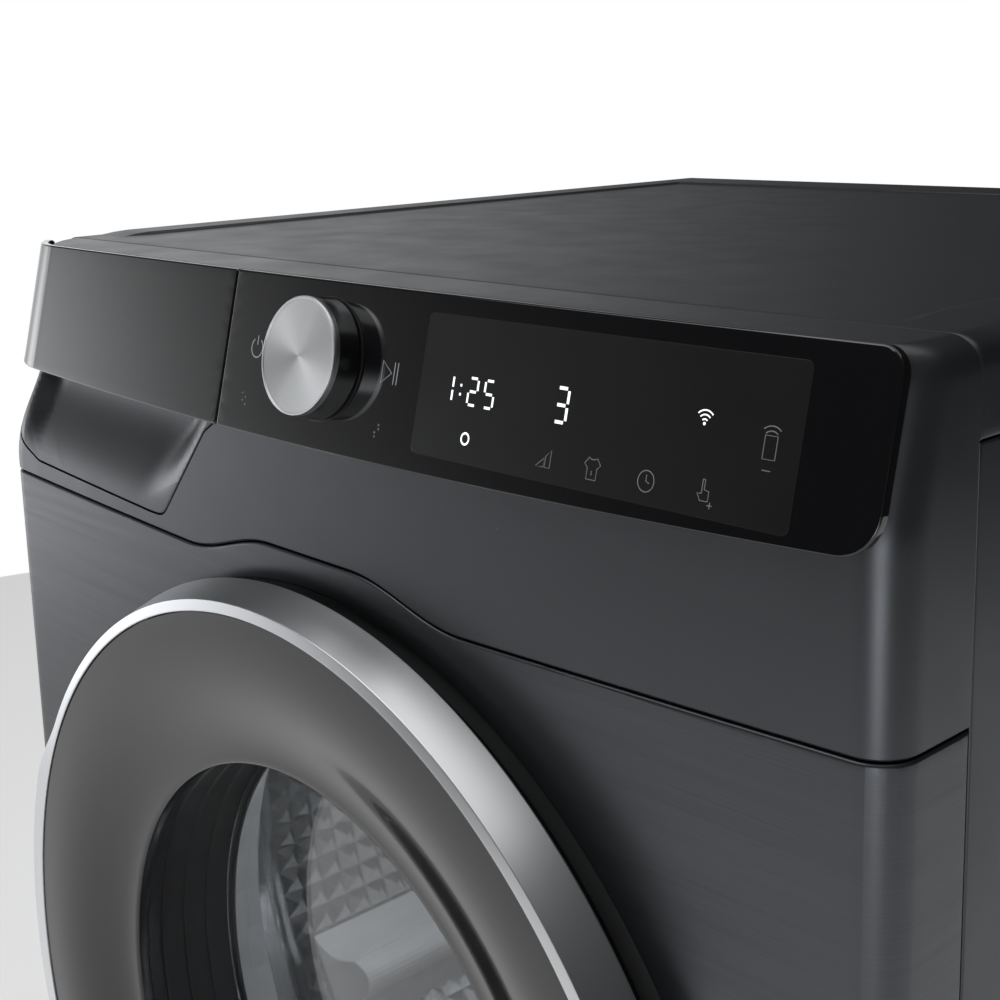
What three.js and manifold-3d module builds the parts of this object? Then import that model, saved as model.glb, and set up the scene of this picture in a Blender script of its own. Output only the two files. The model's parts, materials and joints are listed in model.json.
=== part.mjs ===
// Front-loading heat-pump clothes dryer, in millimetres, +Z up, front towards -Y.
// The origin is on the floor, under the middle of the machine's outer box.
import * as THREE from 'three';
import { mergeVertices } from 'three/addons/utils/BufferGeometryUtils.js';
import Module from 'manifold-3d';

const wasm = await Module();
wasm.setup();

// ---------- driving dimensions ----------
const WIDTH = 600;                 // outside of the casing
const HEIGHT = 850;                // floor to the top cover's rim
const DEPTH = 634;                 // door ring's front to the rear panel's bulge
const HALF_W = WIDTH / 2;
const Y_BACK = DEPTH / 2;
const Y_DOOR_FACE = -DEPTH / 2;    // front edge of the door ring
const Y_FRONT = -283;              // front panel at its corners
const FRONT_BOW = 4;               // how far the middle of the front stands out
const CORNER_R = 15;               // upright front corners
const Y_SEAM = -238.5;             // where front panel and fascia meet the side panels
const GAP = 0.3;                   // clearance between touching pieces

const Z_SKIRT = 815;               // lower edge of the top cover
const RIM_STEP = 1.7;              // raised border of the top cover
const Z_PANEL_BOTTOM = 22;
const PANEL_T = 2;
const FASCIA_T = 3;

const GLASS_TILT = THREE.MathUtils.degToRad(14);
const GLASS_TOP_Y = -273;          // front of the glass at the top edge, before the bow
const GLASS_T = 4;
const GLASS_BOTTOM_MID = 779;
const GLASS_BOTTOM_END = 785.5;
const DIVIDER_X = -57;             // joint between drawer front and control glass

const KNOB_X = 17;
const KNOB_Z = 816.8;              // where the knob's axis meets the glass
const KNOB_R = 25.4;
const KNOB_H = 14;

const DOOR_Z = 466;
const RING_R_REAR = 247.5;
const RING_R_FRONT = 241.4;
const RING_R_INNER = 236;
const RING_DEPTH = 20.3;
const WINDOW_R = 158.5;
const LINER_R = 166;
const Y_LINER_BACK = -236;
const RECESS_R = 244;              // round opening in the front panel
const HINGE_X = 231.5;
const HINGE_Y = -305;
const HINGE_ARMS_Z = [436, 496];
const HINGE_ARM_H = 12;

const NECK_R = 185;                // loading opening
const Y_NECK_FRONT = -280.5;
const Y_BULKHEAD = -203;           // drum side of the front bulkhead
const DRUM_Z = 476;
const DRUM_R = 278;
const DRUM_RIM_R = 268;            // rim that runs on the rollers
const DRUM_Y = [-190, 212];
const DRUM_MOUTH_R = 226;
const SHEET_T = 2.5;
const ROLLER_R = 22;
const ROLLER_ANGLE = THREE.MathUtils.degToRad(38);

const MOTOR_X = 85;
const MOTOR_Z = 95;
const BELT_Y = [-40, -28];
const BELT_T = 1.5;
const PULLEY_R = 10;
const IDLER = { x: 28, z: 112, r: 20 };
const RING_SEGMENTS = 48;

// ---------- solids ----------
function asSolid(source) {
  const bare = source.clone();
  bare.deleteAttribute('normal');
  bare.deleteAttribute('uv');
  const merged = mergeVertices(bare, 1e-3);
  const position = merged.attributes.position;
  const index = merged.index.array;
  const corner = [new THREE.Vector3(), new THREE.Vector3(), new THREE.Vector3()];
  const kept = [];
  let volume = 0;
  for (let i = 0; i < index.length; i += 3) {
    const [a, b, c] = [index[i], index[i + 1], index[i + 2]];
    if (a === b || b === c || c === a) continue;
    kept.push(a, b, c);
    [a, b, c].forEach((vertex, k) => corner[k].fromBufferAttribute(position, vertex));
    volume += corner[0].dot(corner[1].clone().cross(corner[2]));
  }
  if (volume < 0) {
    for (let i = 0; i < kept.length; i += 3) [kept[i], kept[i + 1]] = [kept[i + 1], kept[i]];
  }
  const vertProperties = new Float32Array(position.array);
  return new wasm.Manifold(new wasm.Mesh({ numProp: 3, vertProperties, triVerts: new Uint32Array(kept) }));
}

function asGeometry(solid) {
  const mesh = solid.getMesh();
  const geometry = new THREE.BufferGeometry();
  geometry.setAttribute('position', new THREE.BufferAttribute(mesh.vertProperties, 3));
  geometry.setIndex(new THREE.BufferAttribute(mesh.triVerts, 1));
  geometry.computeVertexNormals();
  return geometry;
}

function union(...solids) {
  return solids.reduce((a, b) => a.add(b));
}

function box([x0, x1], [y0, y1], [z0, z1]) {
  const geometry = new THREE.BoxGeometry(x1 - x0, y1 - y0, z1 - z0);
  geometry.translate((x0 + x1) / 2, (y0 + y1) / 2, (z0 + z1) / 2);
  return asSolid(geometry);
}

function extrude(shape, depth) {
  return new THREE.ExtrudeGeometry(shape, { depth, bevelEnabled: false, curveSegments: 8 });
}

// shape in X and Y, standing between two heights
function prismZ(shape, [z0, z1]) {
  const geometry = extrude(shape, z1 - z0);
  geometry.translate(0, 0, z0);
  return asSolid(geometry);
}

// shape in X and Z, running from front to back
function prismY(shape, [y0, y1]) {
  const geometry = extrude(shape, y1 - y0);
  geometry.rotateX(Math.PI / 2);
  geometry.translate(0, y1, 0);
  return asSolid(geometry);
}

// shape in Y and Z, running from left to right
function prismX(shape, [x0, x1]) {
  const geometry = extrude(shape, x1 - x0);
  const turn = new THREE.Matrix4().makeBasis(
    new THREE.Vector3(0, 1, 0), new THREE.Vector3(0, 0, 1), new THREE.Vector3(1, 0, 0));
  geometry.applyMatrix4(turn);
  geometry.translate(x0, 0, 0);
  return asSolid(geometry);
}

// profile of [radius, y] pairs about an axis along Y through (x, z)
function latheY(profile, x, z, segments = RING_SEGMENTS) {
  const points = profile.map(([r, y]) => new THREE.Vector2(r, y));
  const geometry = new THREE.LatheGeometry(points, segments);
  geometry.translate(x, 0, z);
  return asSolid(geometry);
}

// profile of [radius, z] pairs about an upright axis through (x, y)
function latheZ(profile, x, y, segments = 24) {
  const points = profile.map(([r, z]) => new THREE.Vector2(r, z));
  const geometry = new THREE.LatheGeometry(points, segments);
  geometry.rotateX(Math.PI / 2);
  geometry.translate(x, y, 0);
  return asSolid(geometry);
}

function ringY(rInner, rOuter, [y0, y1], x, z, segments) {
  const profile = [[rInner, y0], [rOuter, y0], [rOuter, y1], [rInner, y1], [rInner, y0]];
  return latheY(profile, x, z, segments);
}

function discY(radius, [y0, y1], x, z, segments) {
  return latheY([[0, y0], [radius, y0], [radius, y1], [0, y1]], x, z, segments);
}

function discZ(radius, [z0, z1], x, y, segments) {
  return latheZ([[0, z0], [radius, z0], [radius, z1], [0, z1]], x, y, segments);
}

function roundedRect([x0, x1], [z0, z1], r) {
  const shape = new THREE.Shape();
  shape.moveTo(x0 + r, z0);
  shape.lineTo(x1 - r, z0);
  shape.absarc(x1 - r, z0 + r, r, -Math.PI / 2, 0);
  shape.lineTo(x1, z1 - r);
  shape.absarc(x1 - r, z1 - r, r, 0, Math.PI / 2);
  shape.lineTo(x0 + r, z1);
  shape.absarc(x0 + r, z1 - r, r, Math.PI / 2, Math.PI);
  shape.lineTo(x0, z0 + r);
  shape.absarc(x0 + r, z0 + r, r, Math.PI, 1.5 * Math.PI);
  return shape;
}

function polygon(points) {
  return new THREE.Shape(points.map(([x, y]) => new THREE.Vector2(x, y)));
}

function sampled(from, to, steps, curve) {
  return Array.from({ length: steps + 1 }, (_, i) => curve(from + (to - from) * i / steps));
}

// a round tube along a smooth curve through the points
function tube(points, radius, steps) {
  const curve = new THREE.CatmullRomCurve3(points.map((p) => new THREE.Vector3(...p)), false, 'centripetal');
  const section = polygon(sampled(0, 7 / 8, 7, (t) =>
    [radius * Math.cos(2 * Math.PI * t), radius * Math.sin(2 * Math.PI * t)]));
  return asSolid(new THREE.ExtrudeGeometry(section, { steps, extrudePath: curve, bevelEnabled: false }));
}

// ---------- the tree of meshes ----------
const dryer = new THREE.Group();

function add(name, solid, color, roughness, metalness = 0) {
  const mesh = new THREE.Mesh(asGeometry(solid), new THREE.MeshStandardMaterial({ color, roughness, metalness }));
  mesh.name = name;
  dryer.add(mesh);
}

const GRAPHITE = [0x3c3e41, 0.35, 0.5];
const BLACK_GLASS = [0x0b0c0e, 0.1, 0];
const BLACK_PLASTIC = [0x141518, 0.45, 0];
const GREY_PLASTIC = [0x6d7074, 0.6, 0];
const WHITE_PLASTIC = [0xd8dadb, 0.6, 0];
const RUBBER = [0x1b1b1c, 0.85, 0];
const FELT = [0x8b8d90, 0.95, 0];
const ZINC = [0x9fa3a6, 0.45, 0.9];
const STEEL = [0xb9bcc0, 0.3, 1];
const SATIN_METAL = [0xb9bcc0, 0.28, 1];
const COPPER = [0xb5693c, 0.35, 1];
const CLEAR = [0xdfe6ea, 0.05, 0];

// ---------- front shape ----------
const BOW_HALF = HALF_W - CORNER_R;

function bow(x) {
  return FRONT_BOW * Math.max(0, 1 - (x / BOW_HALF) ** 2);
}

// plan of the front, set in from the outside by an inset
function frontPlan(inset, yRear) {
  const r = CORNER_R - inset;
  const centreY = Y_FRONT + CORNER_R;
  const side = HALF_W - inset;
  const shape = new THREE.Shape();
  shape.moveTo(-side, yRear);
  shape.absarc(-BOW_HALF, centreY, r, Math.PI, 1.5 * Math.PI);
  for (const [x, y] of sampled(-BOW_HALF, BOW_HALF, 20, (t) => [t, Y_FRONT + inset - bow(t)])) shape.lineTo(x, y);
  shape.absarc(BOW_HALF, centreY, r, -Math.PI / 2, 0);
  shape.lineTo(side, yRear);
  return shape;
}

// height of the seam between fascia and front panel, with its hump over the door
const SEAM_END_Z = 718;
const SEAM_DIP_Z = 712.5;
const HUMP_H = 13;
const HUMP_FLAT = 30;
const HUMP_HALF = 100;

function seamZ(x) {
  const distance = Math.abs(x);
  if (distance > HUMP_HALF) {
    return SEAM_DIP_Z + (SEAM_END_Z - SEAM_DIP_Z) * (distance - HUMP_HALF) / (HALF_W - HUMP_HALF);
  }
  const blend = Math.max(0, (distance - HUMP_FLAT) / (HUMP_HALF - HUMP_FLAT));
  return SEAM_DIP_Z + HUMP_H * (0.5 + 0.5 * Math.cos(Math.PI * blend));
}

function belowSeam(offset) {
  const reach = HALF_W + 10;
  const hump = sampled(-HUMP_HALF, HUMP_HALF, 20, (x) => [x, seamZ(x) + offset]);
  const outline = [[-reach, 0], [-reach, seamZ(reach) + offset], ...hump, [reach, seamZ(reach) + offset], [reach, 0]];
  return prismY(polygon(outline.reverse()), [-330, -200]);
}

// slab between two depths behind the tilted glass face
function glassSlab(yNear, yFar) {
  const z = [690, 870];
  const front = sampled(-HALF_W - 5, HALF_W + 5, 24, (x) => [x, GLASS_TOP_Y - bow(x) + yNear]);
  const rear = front.map(([x, y]) => [x, y + yFar - yNear]).reverse();
  const geometry = extrude(polygon([...front, ...rear]), z[1] - z[0]);
  const slope = Math.tan(GLASS_TILT);
  const lean = new THREE.Matrix4().makeShear(0, 0, 0, 0, 0, slope);
  geometry.translate(0, 0, z[0] - HEIGHT);
  geometry.applyMatrix4(lean);
  geometry.translate(0, 0, HEIGHT);
  return asSolid(geometry);
}

function glassBottom(x) {
  return GLASS_BOTTOM_MID + (GLASS_BOTTOM_END - GLASS_BOTTOM_MID) * (x / HALF_W) ** 2;
}

const GLASS_TOP_Z = HEIGHT - 0.5;

// outline of the drawer's black front and of the control glass, in X and Z
function drawerOutline() {
  const left = -297;
  const r = 10;
  const right = DIVIDER_X - GAP;
  const shape = new THREE.Shape();
  shape.moveTo(right, GLASS_TOP_Z);
  shape.lineTo(left + r, GLASS_TOP_Z);
  shape.absarc(left + r, GLASS_TOP_Z - r, r, Math.PI / 2, Math.PI);
  shape.absarc(left + r, glassBottom(left) + r, r, Math.PI, 1.5 * Math.PI);
  for (const [x, z] of sampled(left + r, right, 12, (t) => [t, glassBottom(t)])) shape.lineTo(x, z);
  return shape;
}

function controlOutline() {
  const right = 296;
  const rTop = 9;
  const rBottom = 20;
  const left = DIVIDER_X + GAP;
  const shape = new THREE.Shape();
  shape.moveTo(left, GLASS_TOP_Z);
  for (const [x, z] of sampled(left, right - rBottom, 12, (t) => [t, glassBottom(t)])) shape.lineTo(x, z);
  shape.absarc(right - rBottom, glassBottom(right - rBottom) + rBottom, rBottom, -Math.PI / 2, 0);
  shape.absarc(right - rTop, GLASS_TOP_Z - rTop, rTop, 0, Math.PI / 2);
  return shape;
}

// opening in the fascia that the tank drawer slides through, shrunk by an inset
const SCOOP_TOP_Z = 845;

function drawerWindow(inset) {
  return polygon([
    [-289 + inset, SCOOP_TOP_Z - inset], [-289 + inset, 737], [-285 + inset, 730 + inset],
    [-262, 727 + inset], [-137, 721 + inset], [-130, 721.5 + inset], [-123 - inset, 725 + inset],
    [-80 - inset, 770], [-73 - inset, 776], [-62 - inset, 780], [-62 - inset, SCOOP_TOP_Z - inset],
  ]);
}

function knobAxis() {
  return new THREE.Vector3(0, -Math.cos(GLASS_TILT), Math.sin(GLASS_TILT));
}

function knobFoot() {
  return new THREE.Vector3(KNOB_X, GLASS_TOP_Y - bow(KNOB_X) - Math.tan(GLASS_TILT) * (HEIGHT - KNOB_Z), KNOB_Z);
}

// profile of [radius, height above the glass] about the knob's axis
function alongKnob(profile, segments) {
  const geometry = new THREE.LatheGeometry(profile.map(([r, h]) => new THREE.Vector2(r, h)), segments);
  geometry.applyQuaternion(new THREE.Quaternion().setFromUnitVectors(new THREE.Vector3(0, 1, 0), knobAxis()));
  const foot = knobFoot();
  geometry.translate(foot.x, foot.y, foot.z);
  return asSolid(geometry);
}

const DISPLAY_X = [81, 264.5];
const DISPLAY_Z = [787, 842];

// box lying behind the glass, in glass coordinates: x, up the glass, and depth behind its face
function behindGlass([x0, x1], [z0, z1], [d0, d1]) {
  const lean = Math.cos(GLASS_TILT);
  const geometry = new THREE.BoxGeometry(x1 - x0, d1 - d0, (z1 - z0) / lean);
  geometry.translate(0, (d0 + d1) / 2, 0);
  geometry.rotateX(-GLASS_TILT);
  const zMid = (z0 + z1) / 2;
  const yMid = GLASS_TOP_Y - bow(0) - Math.tan(GLASS_TILT) * (HEIGHT - zMid);
  geometry.translate((x0 + x1) / 2, yMid, zMid);
  return asSolid(geometry);
}

// ---------- casing ----------
const FILTER_FLAP = { x: [-268, -62], z: [48, 178] };
const GRILLE = { x: [62, 268], z: [48, 178] };

function frontShell(thickness, z) {
  const outer = prismZ(frontPlan(0, Y_SEAM), z);
  return outer.subtract(prismZ(frontPlan(thickness, Y_SEAM + 20), [z[0] - 1, z[1] + 1]));
}

function openingY({ x, z }, y, grow = 0) {
  return box([x[0] - grow, x[1] + grow], y, [z[0] - grow, z[1] + grow]);
}

function addFrontPanel() {
  const shell = frontShell(PANEL_T, [Z_PANEL_BOTTOM, 740]).intersect(belowSeam(-GAP));
  const panel = shell
    .subtract(discY(RECESS_R, [-300, -260], 0, DOOR_Z))
    .subtract(openingY(FILTER_FLAP, [-300, -270], 1))
    .subtract(openingY(GRILLE, [-300, -270], 0.5));
  add('front_panel', panel, ...GRAPHITE);
}

// a slab of the bowed front, from a little behind its face to a flat back
function bowedSlab({ x, z }, behind, yBack) {
  const front = sampled(x[0], x[1], 8, (t) => [t, Y_FRONT - bow(t) + behind]);
  return prismZ(polygon([...front, [x[1], yBack], [x[0], yBack]]), z);
}

function addFilterFlap() {
  const { x, z } = FILTER_FLAP;
  const slab = bowedSlab(FILTER_FLAP, 0, Y_FRONT + 9);
  const hollow = box([x[0] + 12, x[1] - 4], [Y_FRONT, -260], [z[0] + 4, z[1] - 4]);
  add('filter_flap', slab.subtract(hollow), ...GRAPHITE);
}

function addAirGrille() {
  let grille = bowedSlab(GRILLE, 0.5, Y_FRONT + 4);
  const slots = 7;
  const pitch = (GRILLE.z[1] - GRILLE.z[0] - 14) / slots;
  for (let i = 0; i < slots; i += 1) {
    const z0 = GRILLE.z[0] + 10 + i * pitch;
    grille = grille.subtract(box([GRILLE.x[0] + 10, GRILLE.x[1] - 10], [-300, -260], [z0, z0 + 8]));
  }
  add('air_grille', grille, ...BLACK_PLASTIC);
}

function addControlFascia() {
  const cap = FASCIA_T;
  const slope = GLASS_T + 0.5;
  const outer = prismZ(frontPlan(0, Y_SEAM), [700, HEIGHT]).subtract(belowSeam(GAP));
  const inner = prismZ(frontPlan(FASCIA_T, Y_SEAM + 20), [690, HEIGHT - cap]);
  const carved = outer.subtract(inner).subtract(glassSlab(-60, slope));
  const backing = outer.intersect(glassSlab(slope, slope + FASCIA_T));
  const fascia = carved.add(backing)
    .subtract(prismY(drawerWindow(0), [-320, -250]))
    .subtract(behindGlass([DISPLAY_X[0], DISPLAY_X[1]], DISPLAY_Z, [-5, 30]))
    .subtract(alongKnob([[0, -30], [9, -30], [9, 5], [0, 5]], 24));
  add('control_fascia', fascia, ...GRAPHITE);
}

function addTopCover() {
  const r = 12;
  const side = HALF_W;
  const shape = new THREE.Shape();
  shape.moveTo(-side, Z_SKIRT);
  shape.lineTo(side, Z_SKIRT);
  shape.absarc(side - r, HEIGHT - r, r, 0, Math.PI / 2);
  shape.absarc(-side + r, HEIGHT - r, r, Math.PI / 2, Math.PI);
  const skin = 3;
  const yFront = Y_SEAM + GAP;
  const rim = { x: 263, back: 250 };
  const cover = prismY(shape, [yFront, Y_BACK])
    .subtract(box([-side + skin, side - skin], [yFront - 1, Y_BACK - skin], [Z_SKIRT - 1, HEIGHT - RIM_STEP - skin]))
    .subtract(box([-rim.x, rim.x], [yFront - 1, rim.back], [HEIGHT - RIM_STEP, HEIGHT + 1]));
  add('top_cover', cover, ...GRAPHITE);
}

function addSidePanels() {
  const t = 1.5;
  const lip = 10;
  const [yFront, yRear] = [Y_SEAM + GAP, 300];
  for (const [name, sign] of [['side_panel_left', -1], ['side_panel_right', 1]]) {
    const plan = [
      [HALF_W, yFront], [HALF_W, yRear], [HALF_W - lip, yRear], [HALF_W - lip, yRear - t],
      [HALF_W - t, yRear - t], [HALF_W - t, yFront + t], [HALF_W - lip, yFront + t], [HALF_W - lip, yFront],
    ];
    const mirrored = plan.map(([x, y]) => [sign * x, y]);
    add(name, prismZ(polygon(mirrored), [Z_PANEL_BOTTOM, Z_SKIRT - 0.5]), ...GRAPHITE);
  }
}

const Y_REAR_PLATE = 302.5;

function addRearPanel() {
  const t = 2;
  const bulge = { z: 440, rFoot: 236, rTop: 224 };
  const plate = box([-297, 297], [Y_REAR_PLATE - t, Y_REAR_PLATE], [42, Z_SKIRT - 3]);
  const dome = latheY([[0, Y_REAR_PLATE - t], [bulge.rFoot, Y_REAR_PLATE - t], [bulge.rFoot, Y_REAR_PLATE],
    [bulge.rTop, Y_BACK], [0, Y_BACK]], 0, bulge.z, 48);
  const hollow = latheY([[0, Y_REAR_PLATE - t - 1], [bulge.rFoot - t, Y_REAR_PLATE - t - 1],
    [bulge.rTop - t, Y_BACK - t], [0, Y_BACK - t]], 0, bulge.z, 48);
  add('rear_panel', union(plate, dome).subtract(hollow), ...ZINC);
}

function addRearFittings() {
  const y = [Y_REAR_PLATE + GAP, 314];
  const socket = box([-262, -206], y, [748, 796]).subtract(box([-252, -216], [306, 320], [758, 786]));
  add('cord_inlet', socket, ...BLACK_PLASTIC);
  const spigot = latheY([[0, y[0]], [18, y[0]], [18, 306], [9, 306], [9, 316], [6, 316], [6, 305], [0, 305]],
    -234, 700, 24);
  add('drain_spigot', spigot, ...BLACK_PLASTIC);
}

const FEET = [['foot_front_left', -245, -222], ['foot_front_right', 245, -222],
  ['foot_rear_left', -245, 262], ['foot_rear_right', 245, 262]];
const BASE_Z = 16;

function addBase() {
  const wall = 3;
  const [x, y] = [[-283, 283], [-262, 298]];
  let tray = box(x, y, [BASE_Z, 42])
    .subtract(box([x[0] + wall, x[1] - wall], [y[0] + wall, y[1] - wall], [BASE_Z + 4, 50]));
  for (const [, fx, fy] of FEET) {
    tray = tray.add(discZ(12, [BASE_Z, 27], fx, fy, 16)).subtract(discZ(5.4, [0, 60], fx, fy, 16));
  }
  add('base_tray', tray, ...BLACK_PLASTIC);
}

function addFeet() {
  for (const [name, x, y] of FEET) {
    const foot = latheZ([[0, 0], [19, 0], [22, 3], [20, 9], [12, 10], [5, 10], [5, 26], [0, 26]], x, y, 16);
    add(name, foot, ...RUBBER);
  }
}

// ---------- controls and tank drawer ----------
function addControlGlass() {
  const glass = glassSlab(0, GLASS_T).intersect(prismY(controlOutline(), [-320, -240]))
    .subtract(alongKnob([[0, -30], [5.5, -30], [5.5, 5], [0, 5]], 24));
  add('control_glass', glass, ...BLACK_GLASS);
}

function addDisplay() {
  const module = behindGlass([DISPLAY_X[0] + 2, DISPLAY_X[1] - 2], [DISPLAY_Z[0] + 2, DISPLAY_Z[1] - 2], [8.5, 16]);
  add('display_module', module, ...BLACK_PLASTIC);
}

function addKnob() {
  const lift = 0.8;
  const profile = [[0, -24], [3.6, -24], [3.6, lift], [KNOB_R + 0.9, lift], [KNOB_R, KNOB_H - 1],
    [KNOB_R - 1, KNOB_H], [0, KNOB_H]];
  add('program_knob', alongKnob(profile, 36), ...SATIN_METAL);
}

function addBoardBox() {
  add('control_board_box', box([-44, 284], [-246, -185], [774, 842]), ...GREY_PLASTIC);
}

const TANK = { x: [-283, -90], y: [-252, 140], z: [768, 838] };

function addDrawer() {
  const front = glassSlab(0, GLASS_T).intersect(prismY(drawerOutline(), [-320, -240]));
  add('drawer_front', front, ...BLACK_GLASS);

  const inset = 0.6;
  const wall = 2.5;
  const yBack = -257;
  const hollow = { foot: 725, height: 44, depth: 19 };
  const yLip = Y_FRONT - FRONT_BOW;
  const curve = sampled(0, Math.PI / 2, 8, (a) =>
    [yLip + (hollow.depth + FRONT_BOW) * Math.sin(a), hollow.foot + hollow.height * (1 - Math.cos(a))]);
  const yDeep = yLip + hollow.depth + FRONT_BOW;
  const dish = polygon([...curve, [yDeep, SCOOP_TOP_Z + 5], [-330, SCOOP_TOP_Z + 5], [-330, hollow.foot]]);
  const body = prismZ(frontPlan(0, yBack), [700, HEIGHT]).subtract(glassSlab(-60, GLASS_T + 0.5));
  const cup = body.intersect(prismY(drawerWindow(inset), [-330, yBack]))
    .subtract(prismX(dish, [-285 + wall, -66 - wall]).intersect(prismY(drawerWindow(inset + wall), [-335, yBack])));
  add('drawer_scoop', cup, ...GRAPHITE);

  const t = 2;
  const spout = [20, 80];
  const tank = box(TANK.x, TANK.y, TANK.z)
    .subtract(box([TANK.x[0] + t, TANK.x[1] - t], [TANK.y[0] + t, TANK.y[1] - t], [TANK.z[0] + t, TANK.z[1] - t]))
    .subtract(box([-240, -140], spout, [TANK.z[1] - 5, TANK.z[1] + 5]));
  add('water_tank', tank, ...GREY_PLASTIC);
}

function addTankHousing() {
  const t = 2;
  const [x, y, z] = [[-289, -84], [-250, 150], [762, 843.5]];
  const housing = box(x, y, z)
    .subtract(box([x[0] + t, x[1] - t], [y[0] - 1, y[1] - t], [z[0] + t, z[1] - t]));
  add('tank_housing', housing, ...WHITE_PLASTIC);
}

// ---------- door ----------
const LUG_HALF = THREE.MathUtils.degToRad(22);
const LUG_BLEND = THREE.MathUtils.degToRad(11);
const LUG_OUT = 6;

// how far the pull lug widens the ring's front, at an angle from the left-hand side
function lugOut(angle) {
  const past = (Math.abs(angle) - LUG_HALF) / LUG_BLEND;
  if (past >= 1) return 0;
  return past <= 0 ? LUG_OUT : LUG_OUT * (0.5 + 0.5 * Math.cos(Math.PI * past));
}

const Y_RING_REAR = Y_DOOR_FACE + RING_DEPTH;
const Y_HOLE = -301;

function hingeSlots(x, y, height) {
  return union(...HINGE_ARMS_Z.map((z) => box(x, y, [z - height / 2, z + height / 2])));
}

function addDoorRing() {
  const wall = 3;
  const y = Y_DOOR_FACE;
  const profileAt = (angle) => {
    const out = lugOut(angle);
    return [
      [RING_R_REAR, Y_RING_REAR], [RING_R_FRONT + out, y + 0.7], [RING_R_INNER, y], [RING_R_INNER, y + wall],
      [RING_R_FRONT - wall + out, y + wall + 0.6], [RING_R_REAR - wall, Y_RING_REAR],
    ];
  };
  const steps = 60;
  const count = profileAt(0).length;
  const positions = [];
  const index = [];
  for (let i = 0; i < steps; i += 1) {
    const turn = 2 * Math.PI * i / steps;
    const fromLeft = THREE.MathUtils.euclideanModulo(turn + Math.PI, 2 * Math.PI) - Math.PI;
    for (const [r, depth] of profileAt(fromLeft)) {
      positions.push(-r * Math.cos(turn), depth, DOOR_Z + r * Math.sin(turn));
    }
    for (let k = 0; k < count; k += 1) {
      const [a, b] = [i * count + k, i * count + (k + 1) % count];
      const next = ((i + 1) % steps) * count;
      const [c, d] = [next + k, next + (k + 1) % count];
      index.push(a, b, c, b, d, c);
    }
  }
  const geometry = new THREE.BufferGeometry();
  geometry.setAttribute('position', new THREE.Float32BufferAttribute(positions, 3));
  geometry.setIndex(index);
  const ring = asSolid(geometry).subtract(hingeSlots([HINGE_X - 8, 260], [-305, -290], HINGE_ARM_H + 3));
  add('door_ring', ring, ...SATIN_METAL);
}

function addDoorFunnel() {
  const rim = RING_R_INNER - 0.5;
  const steps = 6;
  const front0 = Y_DOOR_FACE + 1;
  const dish = (depth) => sampled(0, 1, steps, (t) => {
    const fall = 0.5 * (1 - Math.cos(Math.PI * t ** 1.5));
    return [rim + (WINDOW_R - rim) * t, front0 + (Y_HOLE - front0) * fall + depth];
  });
  const front = dish(0);
  const rear = dish(2.5).reverse();
  rear[0] = [WINDOW_R, Y_HOLE + 6];
  add('door_funnel', latheY([...front, ...rear, front[0]], 0, DOOR_Z), ...BLACK_GLASS);
}

const Y_FLANGE = [-290, -287];

function addDoorLiner() {
  const wall = 4;
  const lip = 4;
  const profile = [[LINER_R - wall, Y_FLANGE[0]], [238, Y_FLANGE[0]], [238, Y_FLANGE[1]], [LINER_R, Y_FLANGE[1]],
    [LINER_R, Y_LINER_BACK], [LINER_R - wall - lip, Y_LINER_BACK], [LINER_R - wall - lip, Y_LINER_BACK - 2],
    [LINER_R - wall, Y_LINER_BACK - 2]];
  const grip = box([-250, -222], [-295, -280], [DOOR_Z - 40, DOOR_Z + 40]);
  const liner = latheY([...profile, profile[0]], 0, DOOR_Z)
    .subtract(hingeSlots([195, 250], [-295, -280], HINGE_ARM_H + 4))
    .subtract(grip);
  add('door_inner_liner', liner, ...BLACK_PLASTIC);
}

function addDoorWindow() {
  const r = LINER_R - 4.5;
  const y = Y_LINER_BACK - 2.4;
  const bulge = 10;
  const dome = (offset) => sampled(0, 1, 3, (t) => [r * t, y - 4 - bulge * (1 - t * t) + offset]);
  const window = latheY([...dome(0), ...dome(4).reverse()], 0, DOOR_Z);
  add('door_window', window, ...CLEAR);
}

function addHinge() {
  const pinR = 4;
  const [zLow, zHigh] = [HINGE_ARMS_Z[0] - 8, HINGE_ARMS_Z[1] + 8];
  add('hinge_pin', discZ(pinR, [zLow, zHigh], HINGE_X, HINGE_Y, 24), ...STEEL);

  const bore = discZ(pinR + 0.15, [400, 540], HINGE_X, HINGE_Y, 24);
  const reach = 26;
  let bracket = box([211, 238], [-283.5, -280.8], [420, 512]);
  for (const z of HINGE_ARMS_Z) {
    const zs = [z - HINGE_ARM_H / 2, z + HINGE_ARM_H / 2];
    const hook = new THREE.Shape();
    hook.moveTo(HINGE_X, HINGE_Y - 5.5);
    hook.absarc(HINGE_X, HINGE_Y, 5.5, -Math.PI / 2, Math.PI / 2);
    hook.lineTo(HINGE_X - reach + 6, HINGE_Y + 5.5);
    hook.lineTo(HINGE_X - reach + 6, -281);
    hook.lineTo(HINGE_X - reach, -281);
    hook.lineTo(HINGE_X - reach, HINGE_Y);
    bracket = bracket.add(prismZ(hook, zs));
  }
  add('hinge_bracket', bracket.subtract(bore), ...ZINC);

  const leafZ = [HINGE_ARMS_Z[0] + HINGE_ARM_H / 2 + 1, HINGE_ARMS_Z[1] - HINGE_ARM_H / 2 - 1];
  const leaf = union(
    discZ(5.8, leafZ, HINGE_X, HINGE_Y, 24),
    box([HINGE_X - 10, HINGE_X - 3], [HINGE_Y, Y_FLANGE[0] - GAP], leafZ),
    box([176, HINGE_X - 3], [Y_FLANGE[0] - 3.5, Y_FLANGE[0] - GAP], leafZ)).subtract(bore);
  add('door_hinge_leaf', leaf, ...ZINC);
}

const LATCH = { x: [-219, -212], z: [458, 474] };

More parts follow.
